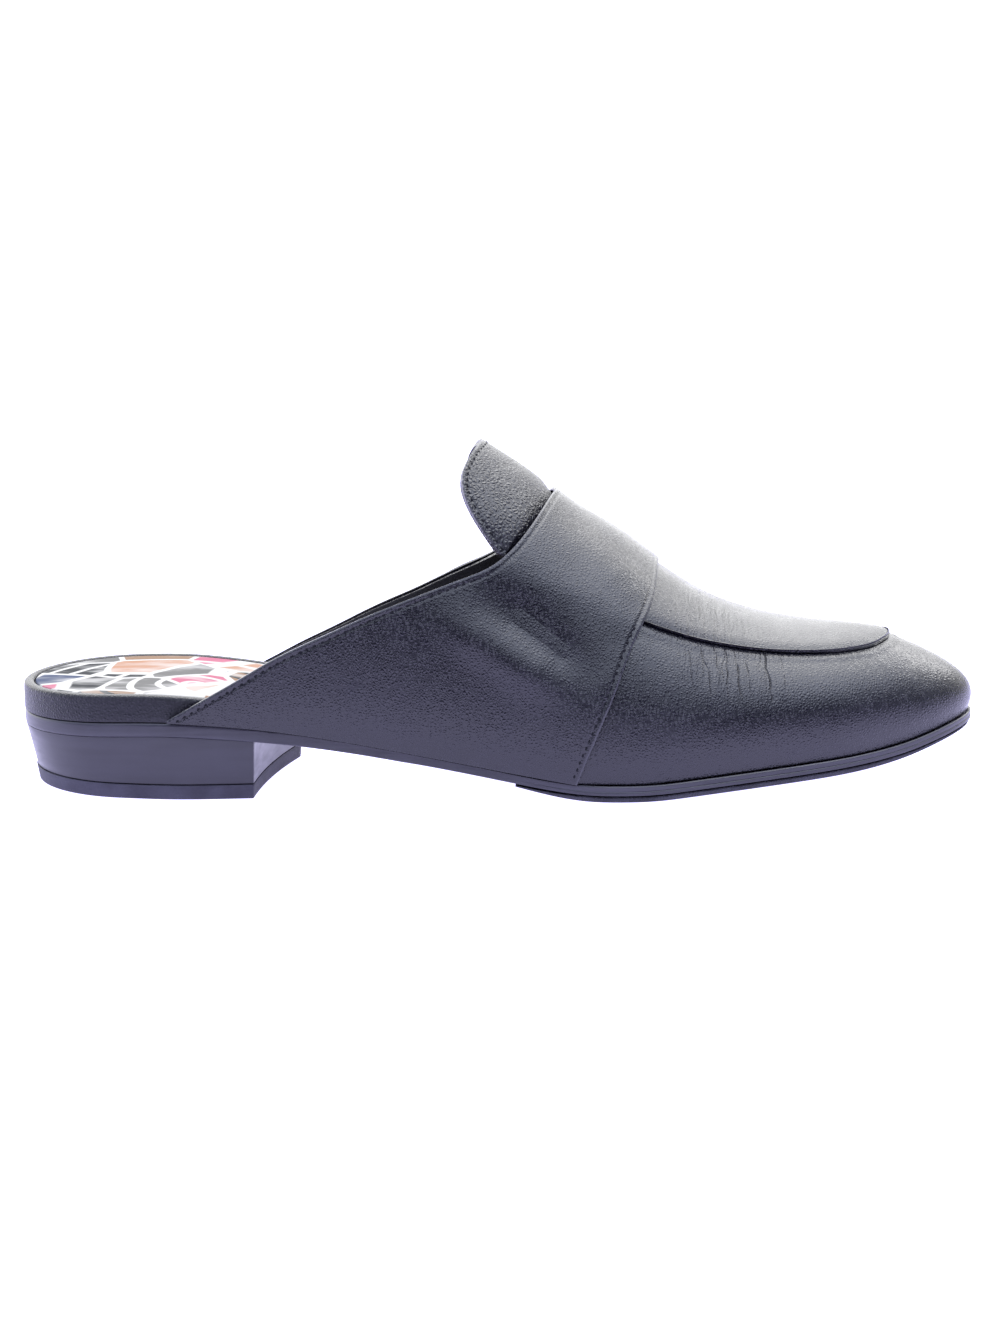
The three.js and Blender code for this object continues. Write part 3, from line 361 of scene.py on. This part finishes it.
# What cloud, mottle and valleys change in the roughness
CLOUD_ROUGH, MOTTLE_ROUGH, VALLEY_ROUGH = 0.12, 0.1, 0.1
# Creases: depths in mm over which painted shade sets in and they dull, the painted shade's part of the dark
# colour, added roughness
CREASE_SHADE_DEPTHS, CREASE_DULL, CREASE_SHADE, CREASE_ROUGH = (0.04, 0.3), (0.02, 0.15), 0.3, 0.3
# Sewn rims, in mm from the edge: place, reach and depth of the dip at the stitches, then at the edge
STITCH_DIP, EDGE_DIP = (1.5, 0.9, 0.16), (0.0, 0.5, 0.12)
EDGE_HIGHLIGHT_REACH, EDGE_HIGHLIGHT_PART = 0.75, 0.8  # how far in from the edge the painted highlight reaches, and how strongly


def shade(color, part):
    return tuple(value * part for value in color)


def leather(name, dark, light, grain_mm, grain_depth, rough, wrinkles=None, sewn=False, **fixed):
    """Leather: pebbles with narrow valleys, uneven colour, and gloss that the grain breaks up; painted shade
    in the valleys and creases, and a painted highlight along sewn edges.
    """
    f = Finish(name, **fixed)
    spread = f.nudged(grain_mm * BEND_SIZE, grain_mm * BEND_REACH)
    pebbles = f.cells(grain_mm, spread).ramp(*VALLEY)
    cloud = f.noise(CLOUD_MM, 3)
    mottle = f.noise(MOTTLE_MM, 2)
    fine = f.noise(grain_mm * FINE_SIZE, 2)
    strength = mottle * 0.5 + cloud * 0.5 + 0.5
    relief = pebbles * strength * grain_depth + fine * (grain_depth * FINE_DEPTH) + mottle * MOTTLE_DEPTH
    tone = (cloud * CLOUD_PART + mottle * (1 - CLOUD_PART)).ramp(*TONE)
    color = f.blend(tone, dark, light)
    gloss = ((cloud - 0.5) * CLOUD_ROUGH + (mottle - 0.5) * MOTTLE_ROUGH + rough
             + (1 - pebbles) * VALLEY_ROUGH)
    if wrinkles is not None:
        folds = wrinkles(f)
        relief = relief + folds
        # Painted shade: the creases are darkened as if shadowed
        color = f.blend((0 - folds).ramp(*CREASE_SHADE_DEPTHS), color, shade(dark, CREASE_SHADE))
        gloss = gloss + (0 - folds).ramp(*CREASE_DULL) * CREASE_ROUGH
    if sewn:
        rim = f.mark("rim_mm")
        for place, reach, depth in (STITCH_DIP, EDGE_DIP):
            relief = relief - rim.near(place, reach) * depth
        # Painted highlight: the folded edge is made lighter where light catches it
        color = f.blend(rim.near(0.0, EDGE_HIGHLIGHT_REACH) * EDGE_HIGHLIGHT_PART, color, EDGE_HIGHLIGHT)
    # Painted shade: the grain's valleys are darkened as if shadowed
    color = f.blend(pebbles * VALLEY_PART + (1 - VALLEY_PART), shade(dark, VALLEY_SHADE), color)
    return f.close(color, gloss, relief)


# Where the leather bends over the ball: along the foot and up it in metres, as starts and ends of ramps
FLEX_REAR, FLEX_FRONT, FLEX_FOOT = (0.042, 0.058), (0.070, 0.086), (0.022, 0.036)
RIPPLES_REAR, RIPPLES_FRONT = (0.044, 0.056), (0.062, 0.078)
WRINKLE_LEAN = 0.12  # radians
FLEX_DEPTH, RIPPLES_DEPTH = 0.1, 0.16  # mm

# Hairline creases over the ball, each with its x at the level, its lean, half-width and depth, and
# the heights of its foot and head, in mm in the row frame
HAIRLINE_LEVEL = 38.0
HAIRLINES = [
    (72.1, -0.14, 0.34, 0.24, 24.5, 41.0),
    (61.4, -0.13, 0.28, 0.16, 26.5, 42.0),
    (64.0, -0.15, 0.32, 0.22, 26.0, 42.0),
    (66.8, -0.14, 0.26, 0.14, 27.0, 41.0),
    (55.9, -0.25, 0.28, 0.13, 27.0, 42.5),
    (52.6, -0.13, 0.24, 0.09, 27.0, 42.5),
    (58.8, -0.14, 0.24, 0.10, 28.0, 42.5),
    (76.1, -0.15, 0.24, 0.08, 28.0, 41.0),
]
FOOT_FADE, HEAD_FADE = 5, 3  # mm over which a hairline sets in and ends
HAIRLINE_LEAST = 0.2  # part of its depth that a hairline keeps where it is faint


def flex_lines(f):
    """Fine upright flex wrinkles over the ball, with the few sharp creases among them."""
    bent = f.nudged(5.0, 0.7, f.nudged(14, 1.6))
    x, _, z = f.split(bent)
    ripple = f.noise(2.4, 2, f.stretched(2.6, 0.24, 0.2, bent, turn=(0, WRINKLE_LEAN, 0)))
    window = x.ramp(*FLEX_REAR) * (1 - x.ramp(*FLEX_FRONT)) * z.ramp(*FLEX_FOOT)
    relief = ripple.ramp(0.35, 0.62) * window * FLEX_DEPTH
    patchy = f.noise(4.0, 2).ramp(0.36, 0.56) * (1 - HAIRLINE_LEAST) + HAIRLINE_LEAST
    for at, lean, width, depth, foot, head in HAIRLINES:
        line = (x - z * lean).near((at - HAIRLINE_LEVEL * lean) * MM, width * MM)
        rise = z.ramp(foot * MM, (foot + FOOT_FADE) * MM)
        fall = 1 - z.ramp((head - HEAD_FADE) * MM, head * MM)
        relief = relief - line * (rise * fall) * patchy * depth
    return relief


def apron_ripples(f):
    """Soft ripples across the apron where it bends."""
    x = f.split(f.nudged(14, 1.6))[0]
    drawn = f.stretched(2.4, 0.2, 0.2, f.nudged(6, 0.8), turn=(0, WRINKLE_LEAN, 0))
    window = x.ramp(*RIPPLES_REAR) * (1 - x.ramp(*RIPPLES_FRONT))
    return f.noise(2.6, 2, drawn).ramp(0.35, 0.65) * window * RIPPLES_DEPTH


# The print: the patches' colours, each with the random number from which it is taken
PATCHES = [
    (0.0, GREY), (0.1, PINK), (0.24, GREY), (0.34, TAN), (0.46, CREAM),
    (0.5, PEACH), (0.64, SLATE), (0.74, BLUE_GREY), (0.84, TAN), (0.93, PINK),
]
PATCH_MM, PATCH_UNEVEN = 13, 0.9
# Where the layout starts and how it is turned, and the arcs' centre, in metres and radians
LAYOUT_SHIFT, LAYOUT_TURN, ARC_CENTRE = (0.011, 0.004, 0), (0, 0, 0.5), (0.083, 0.012, 0)
ARC_SCALE, ARC_WAVER, ARC_EDGE = 46.0, 1.2, (0.8, 0.86)
# Patches above the first number hold arcs, and above the second their arcs are pale
WITH_ARCS, PALE_ARCS = 0.6, 0.5
# Pale outlines, and pale brush strokes with their direction and the part of the print they hide
OUTLINE_EDGE, BRUSH_EDGE, BRUSH_TURN, BRUSH_PART = (0.04, 0.06), (0.42, 0.7), (0, 0, 0.6), 0.65


def prints(name):
    """Pale lining printed with soft patches and arcs in pink, tan, grey and blue-grey."""
    f = Finish(name, Specular_IOR_Level=0.08)
    bent = f.nudged(22, 2.5)
    layout = f.stretched(0.75, 0.9, 0.05, bent, LAYOUT_SHIFT, LAYOUT_TURN)
    shards = f.cells(PATCH_MM, layout, "F1", "Color", PATCH_UNEVEN)
    outline = f.cells(PATCH_MM, layout, uneven=PATCH_UNEVEN)
    pick, other, third = f.split(shards)
    base = f.node("ShaderNodeValToRGB", {"stops": PATCHES}, [pick])
    centre = f.stretched(1, 1, 0.01, bent, ARC_CENTRE)
    arcs = f.node("ShaderNodeTexWave", {"wave_type": "RINGS", "rings_direction": "Z"},
                  {"Vector": centre, "Scale": ARC_SCALE, "Distortion": ARC_WAVER}, out=1)
    band = arcs.ramp(*ARC_EDGE) * (other > WITH_ARCS)
    color = f.blend(band, base, f.blend(third > PALE_ARCS, SLATE, CREAM))
    color = f.blend(1 - outline.ramp(*OUTLINE_EDGE), color, CREAM)
    brush = f.noise(7, 4, f.stretched(0.4, 1.0, 1.0, turn=BRUSH_TURN))
    color = f.blend(brush.ramp(*BRUSH_EDGE) * BRUSH_PART, color, CREAM)
    weave = f.noise(0.5, 2)
    return f.close(color, brush * 0.15 + 0.7, weave * 0.03 + f.noise(12, 2) * 0.15)


def edge_dressing(name, color, light, rough, lines_mm, depth):
    """Dressed edge of leather or rubber: level lines with a slight waver, and faint scuffs."""
    f = Finish(name)
    lines = f.noise(3.0, 3, f.stretched(0.06, 0.06, 3.0 / lines_mm, f.nudged(18, 0.25)))
    scuffs = f.noise(2.2, 3, f.stretched(0.35, 0.35, 1.2))
    cloud = f.noise(16, 3)
    tone = f.blend((cloud * 0.5 + lines * 0.5).ramp(0.3, 0.72), color, light)
    gloss = (scuffs - 0.5) * 0.25 + (cloud - 0.5) * CLOUD_ROUGH + rough
    return f.close(tone, gloss, lines * depth + scuffs * depth * 0.4)


def rubber(name, color, light, depth, ribs=False):
    """Dull black rubber with a fine speck, and upright ribs where it is moulded with them."""
    f = Finish(name, Specular_IOR_Level=0.4)
    speck = f.noise(0.6, 3)
    relief = speck * depth + f.noise(1.6, 2) * depth
    if ribs:
        relief = relief + f.noise(1.1, 2, f.stretched(1.0, 1.0, 0.2)).ramp(0.4, 0.6) * 0.22
    return f.close(f.blend(f.noise(9, 3).ramp(0.3, 0.7), color, light), speck * 0.25 + 0.55, relief)


def thread(name):
    """Sewing thread with a fine twist."""
    f = Finish(name, Specular_IOR_Level=0.15)
    twist = f.noise(0.35, 2)
    return f.close(f.blend(twist, THREAD_DARK, THREAD_LIGHT), twist * 0.2 + 0.6, twist * 0.04)


FINISHES = {
    "vamp_leather": leather("vamp_leather", INK, INK_LIGHT, 0.8, 0.06, 0.2, flex_lines),
    "saddle_leather": leather("saddle_leather", INK, INK_LIGHT, 0.8, 0.065, 0.2, sewn=True),
    "apron_leather": leather("apron_leather", INK, INK_LIGHT, 0.8, 0.065, 0.25, apron_ripples),
    "tongue_leather": leather("tongue_leather", INK, INK_LIGHT, 1.1, 0.17, 0.29, sewn=True),
    "rand_leather": leather("rand_leather", INK, INK_LIGHT, 0.9, 0.1, 0.34, Specular_IOR_Level=0.36),
    "sock_print": prints("sock_print"),
    "sole_leather": edge_dressing("sole_leather", SOLE_DARK, SOLE_LIGHT, 0.38, 1.0, 0.03),
    "tread_rubber": rubber("tread_rubber", TREAD_DARK, TREAD_LIGHT, 0.06, ribs=True),
    "heel_stack": edge_dressing("heel_stack", STACK_DARK, STACK_LIGHT, 0.34, 3.2, 0.014),
    "lift_rubber": rubber("lift_rubber", LIFT_DARK, LIFT_LIGHT, 0.05),
}
THREAD = thread("sewing_thread")
LINING = leather("inner_lining", LINING_DARK, LINING_LIGHT, 0.6, 0.03, 0.5)

upper = take("upper", "vamp_and_lining", levels=3)
saddle = take("saddle", "saddle_strap", levels=3)
apron = take("apron", "apron_sheet", levels=3)
tongue = take("tongue", "tongue_leaf", levels=3)
footbed = take("footbed", "wrapped_footbed", sharp=50)
sock = take("sock_lining", "printed_sock")
outsole = take("outsole", "outsole_edge", round_mm=0.1)
tread = take("forepart_tread", "rubber_tread", round_mm=0.15)
heel = take("heel_block", "stacked_heel", round_mm=0.06)
lift = take("top_lift", "rubber_lift", round_mm=0.12)

PIECES = {
    "upper": (upper, "vamp_leather"),
    "saddle": (saddle, "saddle_leather"),
    "apron": (apron, "apron_leather"),
    "tongue": (tongue, "tongue_leather"),
    "footbed": (footbed, "rand_leather"),
    "sock_lining": (sock, "sock_print"),
    "outsole": (outsole, "sole_leather"),
    "forepart_tread": (tread, "tread_rubber"),
    "heel_block": (heel, "heel_stack"),
    "top_lift": (lift, "lift_rubber"),
}


# Details on the pieces. The forepart's middle, along and across, in metres in the row frame
MIDDLE_X, MIDDLE_Y = 0.045, 0.0034
FAR_PART = 0.8  # depth of the inner side's creases, as a part of the outer side's

# Flex creases where the ball bends: photograph's points, depth and width in mm
VAMP_CREASES = [
    ([(762, 650), (767, 672), (774, 706)], 0.26, 1.0),
    ([(700, 648), (705, 668), (712, 694)], 0.12, 1.3),
    ([(722, 650), (727, 672), (733, 703)], 0.18, 1.1),
    ([(737, 654), (741, 676), (746, 700)], 0.12, 1.1),
]
APRON_CREASES = [
    ([(700, 594), (703, 612), (707, 630)], 0.16, 1.1),
    ([(713, 600), (716, 617), (719, 634)], 0.20, 1.1),
    ([(726, 606), (728, 621), (731, 638)], 0.16, 1.1),
]
# Hollow where the quarter runs into the strap, the roll below it, and the strap's swell above it
STRAP_FOLDS = [
    ([(478, 589), (520, 620), (560, 651), (600, 686), (624, 710)], 1.5, 6.0),
    ([(425, 606), (480, 640), (530, 671), (575, 698), (616, 724)], -1.5, 6.0),
    ([(560, 515), (600, 556), (646, 600)], -0.45, 7.0),
]
# How much further forward the inner side's creases lie, in metres
VAMP_SLIP, APRON_SLIP = 0.002, 0.0015

# A crease's ridges: how far from its middle and how wide, in its own widths
LIP_PLACE, LIP_WIDTH = 2.1, 0.9
# How fast a change fades where the skin turns away from it
PRESS_TURN, OUTER_TURN = 1.6, 2.5

# The apron's seam, in mm: reach and depth of the rolled edge; then, on the vamp, place, width and
# height of the swell, and width and depth of the dip at the seam
ROLL_REACH, ROLL_DEPTH = 4.2, 0.7
SWELL_PLACE, SWELL_WIDTH, SWELL_HEIGHT = 2.2, 1.0, 0.3
DIP_WIDTH, DIP_DEPTH = 1.3, 0.15
APRON_RIM = softly(rims("apron")[0])

# The heel's top, in mm: the height where its rise sets in, over how much it grows, and the rise
RISE_START, RISE_SPAN, HEEL_RISE = 7.0, 3.0, 0.27


def read(piece):
    """Places and normals of a piece's points, one row each."""
    spots = np.empty(len(piece.data.vertices) * 3)
    piece.data.vertices.foreach_get("co", spots)
    outs = np.empty(len(piece.data.vertices) * 3)
    piece.data.vertices.foreach_get("normal", outs)
    return spots.reshape(-1, 3), outs.reshape(-1, 3)


def write(piece, spots):
    piece.data.vertices.foreach_set("co", spots.ravel())
    piece.data.update()


def nearness(spots, line):
    """Distance of each point from a line of points, and its share of the way along the line."""
    best = np.full(len(spots), np.inf)
    way = np.zeros(len(spots))
    for i, (a, b) in enumerate(zip(line, line[1:])):
        a, step = np.array(a), np.array(b) - np.array(a)
        t = np.clip((spots - a) @ step / (step @ step), 0, 1)
        gap = np.linalg.norm(spots - a - t[:, None] * step, axis=1)
        closer = gap < best
        best[closer], way[closer] = gap[closer], ((i + t) / (len(line) - 1))[closer]
    return best, way


def press(piece, line, depth, width, lips, fade):
    """A soft trough along a line on the piece's skin, with low ridges beside it, fading at its ends."""
    spots, outs = read(piece)
    skin = skin_of(piece)
    gap, way = nearness(spots, line)
    gap = gap / (width * MM)
    shape = -np.exp(-gap ** 2) + lips * np.exp(-((gap - LIP_PLACE) / LIP_WIDTH) ** 2)
    ends = np.clip(np.minimum(way, 1 - way) / fade, 0.0, 1.0)
    middle = line[len(line) // 2]
    out = np.array(skin.find_nearest(Vector(middle))[1])
    facing = np.clip((outs @ out) * PRESS_TURN, 0, 1)
    write(piece, spots + outs * (depth * MM * shape * ends * facing)[:, None])


def seen(skin, points):
    """Points of the photograph, found on a skin."""
    found = []
    for across, down in points:
        spot = skin.ray_cast(EYE, sight(across, down))[0]
        if spot:
            found.append(spot)
    return found


def far_side(skin, line, slip):
    """The same line on the inner side of the foot, a slip further forward."""
    return [skin.find_nearest(Vector((p.x + slip, 2 * MIDDLE_Y - p.y, p.z)))[0] for p in line]


def crease(piece, creases, slip, lips, fade):
    """Presses each crease into the outer side, and a lighter one into the inner side."""
    skin = skin_of(piece)
    for points, depth, width in creases:
        line = seen(skin, points)
        press(piece, line, depth, width, lips, fade)
        press(piece, far_side(skin, line, slip), depth * FAR_PART, width, lips, fade)


def outer(spots, outs):
    """1 where the skin looks away from the forepart's middle, 0 where it looks in."""
    away = spots - np.array([MIDDLE_X, MIDDLE_Y, 0.0])
    away /= np.linalg.norm(away, axis=1)[:, None]
    return np.clip(np.einsum("ij,ij->i", outs, away) * OUTER_TURN, 0, 1)


def roll_seam():
    """The apron's edge turns down to its seam, and the vamp swells just below it."""
    spots, outs = read(apron)
    gap, _ = nearness(spots, APRON_RIM)
    turn = np.clip(1 - gap / (ROLL_REACH * MM), 0, 1) ** 2
    write(apron, spots - outs * (ROLL_DEPTH * MM * turn * outer(spots, outs))[:, None])
    spots, outs = read(upper)
    gap = nearness(spots, APRON_RIM)[0] / MM
    swell = np.exp(-((gap - SWELL_PLACE) / SWELL_WIDTH) ** 2) * SWELL_HEIGHT
    dip = np.exp(-(gap / DIP_WIDTH) ** 2) * DIP_DEPTH
    write(upper, spots + outs * (MM * (swell - dip) * outer(spots, outs))[:, None])


def raise_heel():
    """The heel's top closes up to the outsole."""
    spots, _ = read(heel)
    spots[:, 2] += np.clip((spots[:, 2] / MM - RISE_START) / RISE_SPAN, 0, 1) * HEEL_RISE * MM
    write(heel, spots)


def mark_rims(piece, lines):
    """Keeps each point's distance from a piece's free edges, in millimetres."""
    spots, _ = read(piece)
    gaps = np.min([nearness(spots, line)[0] for line in lines], axis=0) / MM
    piece.data.attributes.new("rim_mm", "FLOAT", "POINT").data.foreach_set("value", gaps)


# Stitches, in mm: length, thickness, how deep they sit, and how far their row lies inside the edge
STITCH_LENGTH, STITCH_THICK, STITCH_SINK, ROW_INSET = 1.55, 0.6, 0.1, 1.5
STITCH_LEAN = 0.12  # of its length, across the row
STITCH_BOW = 1.2  # how far its ends go down, in half thicknesses
SEAM_PITCH, FRONT_PITCH = 2.25, 2.15
TOPLINE_MARGIN, FRONT_MARGIN, TONGUE_MARGIN = 1.5, 2.0, 2.5
# The topline's row ends at this x, and the front row at this height, in metres
TOPLINE_END, FRONT_TOP = 0.0005, 0.0485


def stitch_model():
    """One stitch, along X: a short plump thread whose two ends go down into the leather."""
    bpy.ops.object.select_all(action="DESELECT")
    bpy.ops.mesh.primitive_uv_sphere_add(segments=8, ring_count=6, radius=1.0)
    model = bpy.context.active_object
    bpy.ops.object.mode_set(mode="EDIT")
    bpy.ops.mesh.select_all(action="SELECT")
    bpy.ops.transform.rotate(value=math.pi / 2, orient_axis="Y", center_override=(0, 0, 0))
    bpy.ops.object.mode_set(mode="OBJECT")
    for vertex in model.data.vertices:
        x, y, z = vertex.co
        vertex.co = (x, y, z - STITCH_BOW * abs(x) ** 3)
    return model


def sew(name, rows):
    """Rows of stitches as one piece: each row is a list of points with the skin's out and the row's along."""
    model = stitch_model()
    copies = []
    for row in rows:
        for spot, out, along in row:
            stitch = bpy.data.objects.new(name, model.data.copy())
            bpy.context.scene.collection.objects.link(stitch)
            across = out.cross(along).normalized()
            turned = (along + across * STITCH_LEAN).normalized()
            side = out.cross(turned).normalized()
            for vertex in stitch.data.vertices:
                x, y, z = vertex.co
                vertex.co = (spot + turned * (x * STITCH_LENGTH * MM / 2)
                             + side * (y * STITCH_THICK * MM / 2)
                             + out * ((z * STITCH_THICK / 2 - STITCH_SINK) * MM))
            copies.append(stitch)
    bpy.data.objects.remove(model)
    bpy.ops.object.select_all(action="DESELECT")
    for stitch in copies:
        stitch.select_set(True)
    bpy.context.view_layer.objects.active = copies[0]
    bpy.ops.object.join()
    piece = bpy.context.active_object
    piece.name = name
    only(piece)
    bpy.ops.object.shade_smooth()
    piece.data.materials.clear()
    piece.data.materials.append(THREAD)
    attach(piece, "root")


def mean(run):
    return sum(run, Vector()) / len(run)


def free_edges(node):
    """A band's rear and front edges, each the longer of its outer face's and its inner face's."""
    runs = sorted(rims(node)[:4], key=lambda run: mean(run).x)
    return [softly(max(pair, key=length_of)) for pair in (runs[:2], runs[2:])]


def stitch_rows():
    ahead, behind = Vector((1, 0, 0)), Vector((-1, 0, 0))
    inset = ROW_INSET * MM
    skin = skin_of(saddle)
    rear, front = free_edges("saddle")
    mark_rims(saddle, [rear, front])
    topline = inside(evenly(rear, SEAM_PITCH * MM, TOPLINE_MARGIN * MM), skin, ahead, inset)
    topline = [stitch for stitch in topline if stitch[0].x < TOPLINE_END]
    front_row = inside(evenly(front, FRONT_PITCH * MM, FRONT_MARGIN * MM), skin, behind, inset)
    front_row = [stitch for stitch in front_row if stitch[0].z < FRONT_TOP]
    sew("saddle_stitches", [topline, front_row])
    rear = free_edges("tongue")[0]
    mark_rims(tongue, [rear])
    row = inside(evenly(rear, SEAM_PITCH * MM, TONGUE_MARGIN * MM), skin_of(tongue), ahead, inset)
    sew("tongue_stitches", [row])


INWARD = 0.25  # how far a face has to look towards the foot's middle to be lining


def line_inside(piece, height):
    """The lining's finish on faces that look in towards the foot, whose middle is at a height."""
    piece.data.materials.append(LINING)
    for face in piece.data.polygons:
        inward = Vector((0, MIDDLE_Y - face.center.y, height - face.center.z))
        if face.normal.dot(inward.normalized()) > INWARD:
            face.material_index = 1


for node, (piece, slot) in PIECES.items():
    piece.data.materials.clear()
    piece.data.materials.append(FINISHES[slot])

raise_heel()
crease(upper, VAMP_CREASES, VAMP_SLIP, lips=0.35, fade=0.25)
crease(saddle, STRAP_FOLDS, 0.0, lips=0.0, fade=0.3)
roll_seam()
crease(apron, APRON_CREASES, APRON_SLIP, lips=0.35, fade=0.4)
line_inside(upper, 0.02)
line_inside(tongue, 0.05)
stitch_rows()

for node, (piece, slot) in PIECES.items():
    smooth(piece)
    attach(piece, "root")
    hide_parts(node)


# Floor and light. Where the light table ends on the camera's side, and its colours
TABLE_END = (-0.42, -0.27)
TABLE_GLOW, TABLE_PALE, TABLE_DARK = (1.25, 1.2, 1.82), (0.26, 0.25, 0.35), (0.02, 0.02, 0.03)
FLOOR_SIZE, FLOOR_HEIGHT = 60, -0.0002


def glowing_floor(name):
    """Light table with a violet cast, dark past its end on the camera's side."""
    f = Finish(name, Roughness=0.9, Emission_Strength=1.0)
    table = f.split(f.place)[1].ramp(*TABLE_END)
    f.feed(f.shader.inputs["Emission Color"], f.blend(table, (0, 0, 0), TABLE_GLOW))
    return f.close(f.blend(table, TABLE_DARK, TABLE_PALE))


bpy.ops.object.select_all(action="DESELECT")
bpy.ops.mesh.primitive_plane_add(size=FLOOR_SIZE, location=(0, 0, FLOOR_HEIGHT))
floor = bpy.context.active_object
floor.name = "floor"
floor.data.materials.append(glowing_floor("light_table"))


def lamp(name, spot, aim, power, color=(1, 1, 1), **shape):
    """A flat lamp at a spot, turned to its aim."""
    bpy.ops.object.select_all(action="DESELECT")
    bpy.ops.object.light_add(type="AREA", location=spot)
    light = bpy.context.active_object
    light.name = name
    light.data.energy = power
    light.data.color = color
    for setting, value in shape.items():
        setattr(light.data, setting, value)
    light.rotation_euler = (Vector(aim) - Vector(spot)).to_track_quat("-Z", "Y").to_euler()


lamp("top_softbox", (0.25, 0.05, 1.2), (0.02, 0, 0.03), 8, (1.0, 0.99, 0.96),
     shape="RECTANGLE", size=1.3, size_y=0.8)
lamp("toe_card", (0.40, 0.31, 0.30), (0.12, 0, 0.03), 0.7, shape="SQUARE", size=0.18)

# Radiance of the white walls, the back, the band above it, the roof and the opening for the camera
SIDES, BACK_WALL, BACK_BAND, ROOF, OPENING = 2.5, 3.3, 2.4, 2.7, 0.02
# What the toe's end lacks below, and what its roof has more than the heel's
TOE_END, ROOF_TILT = 1.9, 2.2
# Where they start and end, by the x, y or z of a direction from the part
OPENING_Y, OPENING_Z = (-0.55, -0.1), (0.31, 0.42)
TOE_END_X, TOE_END_Z = (0.28, 0.48), (0.56, 0.66)
BACK_Y, BAND_X, BAND_Z = (0.1, 0.6), (0.25, 0.45), (0.42, 0.54)
ROOF_X, ROOF_Z, ROOF_MIDDLE = (-0.6, 0.5), (0.5, 0.8), 0.4
# The near side is cooler than the back
COOL, PLAIN, COLOR_Y = (0.84, 0.92, 1.16), (0.985, 0.99, 1.0), (-0.3, 0.6)


def light_tent():
    """White walls all round, dark low down on the side the camera looks in from."""
    world = bpy.data.worlds.new("light_tent")
    world.use_nodes = True
    g = Graph(world.node_tree)
    x, y, z = g.split(g.node("ShaderNodeTexCoord", {}, out="Generated"))
    opening = (1 - y.ramp(*OPENING_Y)) * (1 - z.ramp(*OPENING_Z))
    toe_end = x.ramp(*TOE_END_X) * (1 - z.ramp(*TOE_END_Z)) * TOE_END
    band = z.ramp(*BAND_Z) * (1 - x.ramp(*BAND_X)) * BACK_BAND
    back = y.ramp(*BACK_Y) * (band + (BACK_WALL - SIDES))
    roof = z.ramp(*ROOF_Z) * ((x.ramp(*ROOF_X) - ROOF_MIDDLE) * ROOF_TILT + (ROOF - SIDES))
    wall = back + roof + SIDES - toe_end
    background = world.node_tree.nodes["Background"]
    g.feed(background.inputs["Strength"], wall * (1 - opening) + opening * OPENING)
    g.feed(background.inputs["Color"], g.blend(y.ramp(*COLOR_Y), COOL, PLAIN))
    bpy.context.scene.world = world


light_tent()
bpy.context.scene.view_settings.view_transform = "Standard"
